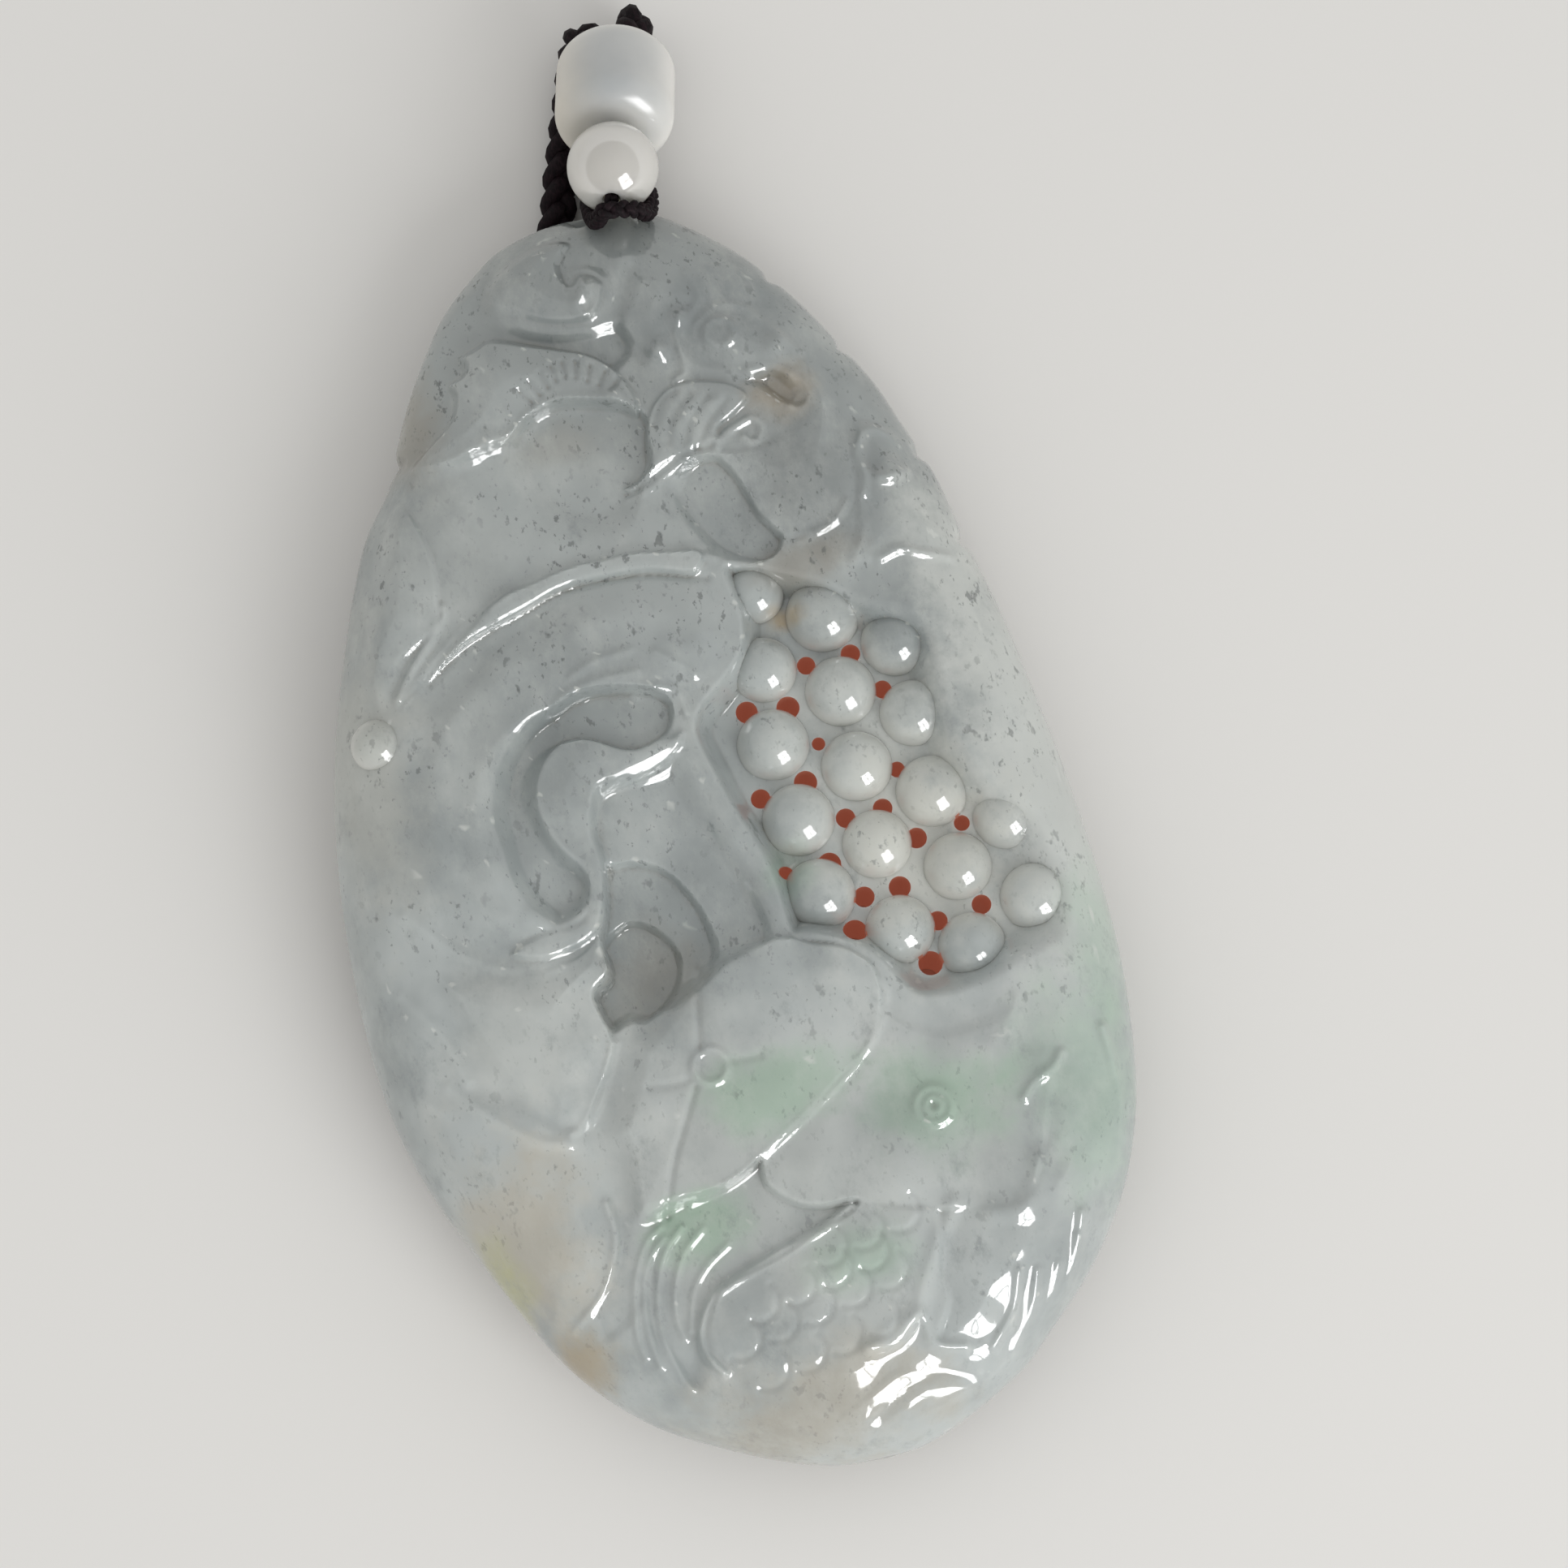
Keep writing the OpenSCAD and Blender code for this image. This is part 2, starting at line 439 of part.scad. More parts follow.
// The direction of a route at each of its points
function headings(route, closed) =
    let (n = len(route))
    [for (i = [0:n - 1])
        unit(closed ? route[(i + 1) % n] - route[(i + n - 1) % n]
            : route[min(i + 1, n - 1)] - route[max(i - 1, 0)])];

// A side direction at each point, carried along the route so that the tube doesn't twist
function side_directions(along) =
    [for (
        i = 0, side = unit(cross(along[0], [0.3, 0.1, 1]));
        i < len(along);
        i = i + 1, side = i < len(along) ? unit(side - (side * along[i]) * along[i]) : side
    ) side];

// A tube swept along a route, closed into a ring or capped at its ends
module tube(route, d, closed) {
    along = headings(route, closed);
    side = side_directions(along);
    n = len(route);
    points = [for (i = [0:n - 1], k = [0:cord_sides - 1])
        let (a = 360 * (k + 0.5) / cord_sides, up = cross(along[i], side[i]))
        route[i] + d / 2 * (cos(a) * side[i] + sin(a) * up)];
    bands = [for (i = [0:closed ? n - 1 : n - 2], k = [0:cord_sides - 1])
        let (
            j = (i + 1) % n,
            a = i * cord_sides + k,
            b = i * cord_sides + (k + 1) % cord_sides,
            c = j * cord_sides + (k + 1) % cord_sides,
            e = j * cord_sides + k
        )
        each [[a, c, b], [a, e, c]]];
    caps = closed ? [] : [
        [for (k = [0:cord_sides - 1]) k],
        [for (k = [cord_sides - 1:-1:0]) (n - 1) * cord_sides + k],
    ];
    polyhedron(points = points, faces = concat(bands, caps), convexity = 8);
}

module hanging_loop() color(dark_cord) tube(loop_route, loop_d, true);

module carrying_cord() color(dark_cord) tube(cord_route, cord_d, false);

pendant();
round_bead();
barrel_bead();
bead_thread();
hanging_loop();
carrying_cord();
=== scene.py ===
import math

import bpy
import numpy as np
from mathutils import Matrix, Vector


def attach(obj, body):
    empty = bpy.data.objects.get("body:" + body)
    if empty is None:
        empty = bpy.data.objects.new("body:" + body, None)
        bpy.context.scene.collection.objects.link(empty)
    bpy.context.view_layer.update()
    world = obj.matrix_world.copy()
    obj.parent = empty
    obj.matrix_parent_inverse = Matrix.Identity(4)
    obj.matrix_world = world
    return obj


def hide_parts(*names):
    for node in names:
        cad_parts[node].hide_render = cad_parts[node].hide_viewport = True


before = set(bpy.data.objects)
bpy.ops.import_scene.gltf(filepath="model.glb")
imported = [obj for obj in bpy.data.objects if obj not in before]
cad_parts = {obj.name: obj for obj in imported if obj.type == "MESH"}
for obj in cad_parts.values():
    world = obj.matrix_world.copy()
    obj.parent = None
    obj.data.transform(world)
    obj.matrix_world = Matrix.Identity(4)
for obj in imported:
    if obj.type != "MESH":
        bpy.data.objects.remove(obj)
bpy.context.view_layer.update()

MM = 0.001

# Sizes shared with the CAD source, in millimetres
THICKNESS = 11
TOP_THINNING = 1.4
RIM_HEIGHT = 5.4
SHOULDER_WIDTH = 6
BEVEL_WIDTH = 8
TOP_Y = 42.4
LATTICE_HOLE_R = 0.8
BALL_HEIGHT = 8.3
PEARL_R = 1.8
PEARL_AT = (-19.6, 9.5)
PEARL_RISE = 0.5
BORE_MOUTHS = [(1.9, 43.2), (5.8, 43)]
BORE_MEETING = (3.8, 38.6)
BORE_HEIGHT = 6
BORE_R = 0.95
CHAMBER_R = 1.9
ROUND_BEAD_AT = (3.8, 44, 10.5)
ROUND_BEAD_R = 3.05
BARREL_R = 4
BARREL_START = 3.2
BARREL_END = 10.6
BARREL_ROUNDING = 1.8
BEAD_BORE_R = 0.6
BEAD_TURN = -13
BEAD_SLOPE = 28
CORD_D = 2.6
LOOP_D = 1.2
THREAD_D = 1
# Heights on the beads' line that the thread runs through
THREAD_HEIGHTS = (-3.2, 0, 6, BARREL_END)

# The plaits: width, length that a strand takes to come round again, thickness as a share of the
# width, and step along the line
CORD_PLAIT = (CORD_D, 5.4, 0.8, 0.32)
LOOP_PLAIT = (LOOP_D, 2.4, 0.9, 0.16)
THREAD_PLAIT = (THREAD_D, 2.2, 0.9, 0.2)
# A strand's radius as a share of the plait's width
STRAND_SHARE = 0.235

# The camera looks down at the pendant, 10 degrees off the vertical, and turned with its long axis.
CAMERA_TARGET = (5.63, 1.42, 8)
CAMERA_TILT = 10
CAMERA_TURN = 13
CAMERA_DISTANCE = 300
CAMERA_FIELD = 102.4
SENSOR = 36
CAMERA_CLIP = (0.005, 20)

# The outline: height along the pendant, left edge, right edge
OUTLINE_ROWS = [
    (42.4, -1, 3.8), (41.5, -4.7, 6.2), (40, -7, 8.3), (38, -9.3, 10.6), (36, -10.8, 12.3),
    (33, -12.7, 14.4), (30, -14.2, 16.1), (27, -15.5, 17.7), (24, -17.7, 18.8), (20, -19.5, 20.2),
    (15, -21.3, 21.2), (10, -22.8, 22.3), (5, -23.8, 23.1), (0, -24.4, 23.8), (-5, -24.6, 24.3),
    (-10, -24.5, 24.6), (-15, -23.9, 24.6), (-20, -22.4, 24.1), (-24, -20.6, 23.3), (-28, -18.7, 21.8),
    (-31, -17.2, 20), (-34, -15.1, 17.6), (-37, -12, 14.4), (-39, -8.8, 12), (-41, -4.7, 8.2),
    (-42, -1.8, 5.6), (-42.4, 0.4, 3.6),
]

# Small notches in the outline: where, which way they go in, depth, width
NOTCHES = [
    ((0.9, 42.2), (0.2, -1), 0.9, 0.55),
    ((-14.6, 28.2), (1, 0.1), 0.5, 0.6),
    ((12.7, 35.5), (-0.8, -0.6), 0.35, 0.5),
    ((16.3, 29.7), (-1, -0.4), 0.3, 0.5),
    ((19.6, 21.4), (-1, -0.3), 0.35, 0.6),
    ((21.1, 15), (-1, -0.2), 0.4, 0.6),
]

# The carved forms, each over the ones before it: name, level against the plain face, crown, widths of
# the crisp and the soft border, direction of the soft side, outline
FORMS = [
    ("ground at the upper left", -0.7, 0, 1, 1.6, 150, [(-17.5, 26.5), (-16.5, 31), (-13.5, 36),
     (-10, 39.5), (-6.5, 38.2), (-6, 36.5), (-4, 34.9), (-2, 34.2), (0, 34), (2.5, 34), (2.5, 31.5),
     (0, 30), (-6, 29), (-9, 27), (-13.5, 26.5)]),
    ("hollow under the tongue leaf", -0.95, 0, 0.48, 5, -135, [(2.1, 27.6), (0.5, 29.3), (-1.75, 30),
     (-4.5, 30.3), (-6.5, 29.25), (-8, 27.25), (-8.5, 24.5), (-7, 20.5), (-3, 18.5), (0, 20),
     (1.25, 22.5), (2.25, 24), (2.5, 25.75)]),
    ("top cloud", 0.15, 0.35, 0.9, 1.6, 90, [(3, 36.75), (4.25, 37.25), (5.75, 37), (7.25, 35.5),
     (7.5, 34), (6.25, 33.25), (5.5, 31.5), (4.75, 30.5), (3.25, 30.5), (2.25, 32), (1.5, 33.5),
     (2.25, 35.25)]),
    ("spiral cloud", 0.15, 0.35, 0.9, 1.4, 90, [(7, 32.5), (8, 33.5), (9.5, 33.25), (10.75, 32.25),
     (11.5, 31.25), (12.25, 30), (13, 29.25), (13, 28.25), (11.5, 28), (10, 28.75), (8.25, 29), (7, 30),
     (6.5, 31.25)]),
    ("brown hollow", -0.9, 0, 0.8, 3.5, -160, [(7.8, 29.3), (9.1, 29), (10.7, 28.9), (12, 28.2),
     (12.8, 27.3), (13.1, 26.5), (12.9, 25.6), (11.9, 25.2), (10.7, 26), (9.5, 26.8), (8, 27.6)]),
    ("top lobe", 0.5, 0.5, 0.48, 1, 150, [(-6.5, 38.5), (-6.5, 36.5), (-4.75, 35.5), (-2.5, 34.5),
     (0.25, 34.25), (1.5, 36), (1.25, 37), (0.5, 37.5), (-0.25, 37.5), (-0.75, 37), (-1, 38.5), (0, 40),
     (-1.75, 40.75), (-4.25, 40)]),
    ("tongue leaf", 0.5, 0.6, 0.5, 1, 120, [(-13.9, 27.5), (-12.3, 28.7), (-10.6, 29.9), (-10.1, 31.4),
     (-10.3, 32.5), (-9.1, 33), (-9.1, 34.2), (-8, 34.6), (-6.6, 34.9), (-4.5, 34), (-2.2, 33),
     (-0.1, 32), (1.4, 30.3), (2.1, 28.2), (1.7, 27.1), (0.5, 27.9), (-1.7, 28.6), (-3.5, 28.9),
     (-5.1, 28.4), (-6.3, 27.5), (-7.7, 27), (-9.3, 26.7), (-11.3, 26.4), (-13.5, 26.7)]),
    ("hollow beside the right leaf", -1.05, 0, 0.4, 3.8, -160, [(2, 23.2), (5.6, 23.6), (6.9, 22.5),
     (7.6, 20.7), (8.2, 18.8), (9.3, 17.3), (8.3, 15.8), (5, 15.8), (2.5, 18), (1.2, 21)]),
    ("veined curl leaf", 0.4, 0.6, 0.4, 1, -90, [(1.75, 25.75), (2.25, 27), (3, 28), (4.25, 28.75),
     (6.25, 28.75), (8.25, 28), (9.25, 26.75), (8, 25.75), (6.75, 25), (6.75, 24), (4.5, 23.75),
     (2, 22.75), (0.25, 22), (-0.5, 22.75), (0.75, 23.25), (1.5, 24.25)]),
    ("right leaf", 0.2, 0.6, 0.48, 1.6, 45, [(6, 23.5), (7.25, 22.5), (7.75, 20.75), (7.75, 19.5),
     (8.25, 18), (9.25, 16.75), (11.5, 16.5), (13.5, 17.25), (14.75, 19), (15.5, 21.25), (15.25, 23.5),
     (14.75, 26), (13.5, 26.75), (12.25, 25.25), (10.5, 24), (8.75, 23.5)]),
    ("rim lobe", 0.1, 0.4, 0.48, 1.5, 0, [(15.5, 23.5), (17.25, 23.5), (18.75, 21), (20, 18), (20.75, 14),
     (18.5, 13.75), (15.75, 14.25), (14, 13.75), (13.25, 14.5), (14.5, 17), (15, 19.5)]),
    ("left lobe", 0.35, 0.6, 0.5, 1.8, 180, [(-15.25, 25.5), (-14.25, 24.5), (-13.5, 22), (-13.25, 19.75),
     (-13.5, 17.75), (-14, 16), (-16.5, 14.25), (-17.75, 12), (-19, 11.25), (-20.25, 12.25),
     (-20.75, 13.5), (-18.75, 19.5), (-16.75, 23.25)]),
    ("big leaf", 0, 0.9, 0.64, 4, 180, [(-17.25, 11), (-16.5, 11.75), (-11.75, 14.5), (-8.75, 15.5),
     (-6, 16.5), (-3.5, 16.75), (0, 16.5), (2.5, 15.75), (3.75, 15), (5, 13.25), (5.25, 11), (3.75, 9),
     (2, 8.25), (0.25, 7), (-0.25, 5.75), (-0.25, 4.5), (-1, 3.75), (-5.5, 3.25), (-6.5, 2.75),
     (-6.75, 0.25), (-6.75, -2), (-7, -4), (-8.25, -5.75), (-10.5, -6.5), (-13.75, -6.75), (-16.75, -5.5),
     (-18.75, -3.5), (-19.5, -0.5), (-20.25, 2.25), (-20, 5.5), (-19, 8)]),
    ("trough beside the ribbon", -0.8, 0, 0.5, 3.8, 180, [(-0.25, 7.75), (-1.5, 9), (-4, 9.75),
     (-6.25, 9.75), (-8, 9.25), (-10.25, 8.75), (-12.75, 7), (-14.25, 4.25), (-14.5, 1.25), (-14, -2),
     (-12.5, -4.25), (-10.5, -5.5), (-8.5, -4.25), (-7.75, -2.25), (-9, 0), (-9.5, 2), (-9.5, 4.25),
     (-8.25, 6), (-6.25, 6.25), (-3.75, 5), (-1, 5.75)]),
    ("rolled rim of the big leaf", 0.6, 0.3, 0.4, 0.9, -135, [(-17.5, 11.75), (-16, 12.5),
     (-14.25, 14.25), (-12.25, 15.75), (-9.75, 17.25), (-7.5, 17.75), (-4.75, 18.25), (-2.75, 18.25),
     (-0.75, 18.25), (2, 17.75), (3.5, 17.5), (4, 16.7), (3.25, 15.8), (2.5, 15.75), (0, 16.5),
     (-3.5, 16.75), (-6, 16.5), (-8.75, 15.5), (-11.75, 14.5), (-14.25, 13.25), (-16.5, 11.75),
     (-17.5, 11)]),
    ("outer crescent", -1, 0, 0.6, 2.4, 30, [(-0.5, 5.4), (0, 4), (0.9, 1), (1.9, -2), (2.7, -5),
     (3, -8.5), (1, -10.5), (-5, -11), (-7.5, -9.5), (-8.4, -7.5), (-8.3, -6.2), (-7.6, -4.3),
     (-7.1, -1.5), (-7.3, 0.8), (-6.5, 3.3), (-5, 3.9), (-2.5, 4.5)]),
    ("inner crescent", -2, 0, 0.45, 1.2, -90, [(-7.1, -1.6), (-6.2, -1.5), (-5, -1.6), (-3.25, -2.5),
     (-2, -4.25), (-1.1, -6.5), (-0.8, -9), (-2, -11.5), (-5.5, -12), (-8, -10.5), (-8.4, -8),
     (-8.4, -6.3), (-7.6, -4.3)]),
    ("deep hollow", -2.8, 0, 0.45, 0.9, -90, [(-8.3, -6.4), (-6.75, -5.3), (-5.5, -5.4), (-4.25, -6.4),
     (-3.4, -8), (-3.7, -10), (-5, -11.6), (-7, -12.6), (-8.6, -13.4), (-9.2, -12.3), (-9.6, -10.6),
     (-9.5, -9.4), (-8.4, -8.6), (-8.3, -7.5)]),
    ("ribbon", 0.5, 0.3, 0.5, 0.7, -20, [(0, 6), (-3.25, 5.5), (-6.5, 7), (-8.5, 6.75), (-10, 5),
     (-10.5, 3.25), (-10, 1), (-8.75, -1.25), (-8.5, -3), (-9, -4.5), (-10, -5), (-11.75, -5),
     (-13.5, -5.5), (-14.25, -6.25), (-12.25, -7), (-10, -6.75), (-8.25, -6), (-7.25, -4.25),
     (-6.75, -1.5), (-7, 0.75), (-6.25, 3), (-5, 3.5), (-2.25, 4), (-0.25, 4.75)]),
    ("ground beside the long leaf", -0.25, 0, 0.8, 1.5, 0, [(-13, -17), (-10, -12.5), (-7, -11),
     (-5, -14), (-6, -20), (-7.5, -25), (-10.5, -30), (-14, -31.5), (-14, -25)]),
    ("long leaf", 0, 0.8, 0.9, 3, 135, [(-24, -11.5), (-20, -12.5), (-16, -14), (-13, -15.5),
     (-11.25, -18.25), (-10.75, -21), (-10.75, -25), (-11.5, -27), (-12.75, -28.5), (-14.75, -30.5),
     (-16.5, -31.25), (-17.75, -30.75), (-19.25, -27.25), (-21.25, -21.5)]),
    ("lower leaf", 0.2, 0.8, 0.4, 3, 180, [(-17.75, -5.5), (-14.75, -6.5), (-12.25, -7.25), (-10, -7),
     (-8.25, -6), (-8, -7.5), (-8, -8.5), (-9.25, -9.5), (-9.25, -10.5), (-8.75, -12.25), (-8.75, -13.25),
     (-9.5, -14.75), (-10.5, -16.25), (-11.75, -18), (-13, -18.25), (-14, -18), (-16.25, -15.75),
     (-18.25, -12.75), (-19.75, -9.75), (-20.25, -7), (-19.5, -5)]),
    ("ground above the fish", -0.7, 0, 0.8, 2, 180, [(-10, -24), (-6, -21), (-2, -18.5), (4, -16),
     (9, -15), (12, -22), (9, -27.5), (4, -29), (-2, -30.5), (-6, -32.5), (-8, -36), (-10, -35),
     (-11.5, -31), (-11, -27)]),
    ("fish body", 0, 0.65, 0.45, 2.5, -90, [(5, -25.5), (3.5, -26.75), (1.25, -27.5), (-1.5, -28.5),
     (-5, -29.5), (-6.25, -30.25), (-7.5, -32.25), (-7.5, -33.75), (-6.75, -35.25), (-4, -37.25),
     (-0.75, -38.75), (2.5, -38.75), (4.75, -37), (6.75, -35.5), (8, -33.75), (8.75, -31.75),
     (9.75, -28.75), (10.5, -26.5)]),
    ("tail fin", -0.3, 0.6, 0.64, 2.5, -30, [(9.25, -26.5), (12, -26), (16, -26), (19, -25),
     (19.25, -28.25), (17.25, -32), (14.5, -34.5), (10.75, -37), (8, -37), (6.75, -36), (8, -33.75),
     (8, -31.5)]),
    ("second leaf", 0.2, 0.3, 0.45, 1.5, 60, [(7.5, -13.5), (11.25, -16.5), (14, -16.5), (15.5, -16),
     (16.25, -15.25), (17, -15), (17.75, -15.5), (17.75, -16.75), (17, -18.75), (18.25, -19.25),
     (18.75, -20.5), (18.75, -21.75), (18, -22.75), (17, -25), (16, -27), (15.25, -28.25), (13.75, -29),
     (11, -28.75), (6, -27.5), (3.75, -26.5), (2, -26.5), (0.25, -26), (-1.25, -24.75), (-1.75, -23.5),
     (-1, -21), (2, -18.5), (5, -16)]),
    ("lotus pad", 0.6, 0.3, 0.4, 3, 150, [(-8.5, -12.5), (-7, -12), (-5.5, -11), (-4.25, -10),
     (-2.25, -9.25), (-1, -8.75), (1.5, -8.5), (3.5, -8.75), (5, -9.5), (7, -10.25), (8.5, -11.75),
     (8.75, -13.75), (8, -15.75), (7, -17.25), (5, -18.5), (2.5, -20.25), (0, -21.75), (-2, -23),
     (-3.75, -23.75), (-6.5, -24.25), (-9.25, -25), (-10.5, -24), (-10.75, -20.75), (-11.25, -18.5),
     (-9.75, -15.75), (-9, -13.75)]),
    ("bottom band", 0.1, 0.3, 0.48, 1, 0, [(-0.5, -39.5), (1.5, -38.5), (3.75, -37.25), (6.25, -37.5),
     (7.5, -38.25), (6.5, -39.5), (3.5, -40.5), (0.75, -41)]),
    ("bowl of the ball lattice", -2.4, 0, 1.5, 3.5, 0, [(4.75, 16), (6.5, 16), (8.5, 15), (11, 13.75),
     (13.25, 12), (15.75, 10.75), (17.5, 9), (17.5, 5.75), (17.5, 1.75), (19, -1.75), (21.5, -4.5),
     (22.5, -9.25), (21.25, -12.75), (17.75, -14), (15.25, -14.75), (12.25, -15), (10.25, -14.25),
     (9, -12), (7.5, -10.25), (5, -9), (3.6, -8.5), (3.3, -5), (2.5, -2), (1.5, 1), (0.7, 4.2),
     (0.5, 5.9), (1.2, 7.3), (2.75, 8.5), (4.5, 10.25), (5.1, 12.5)]),
]
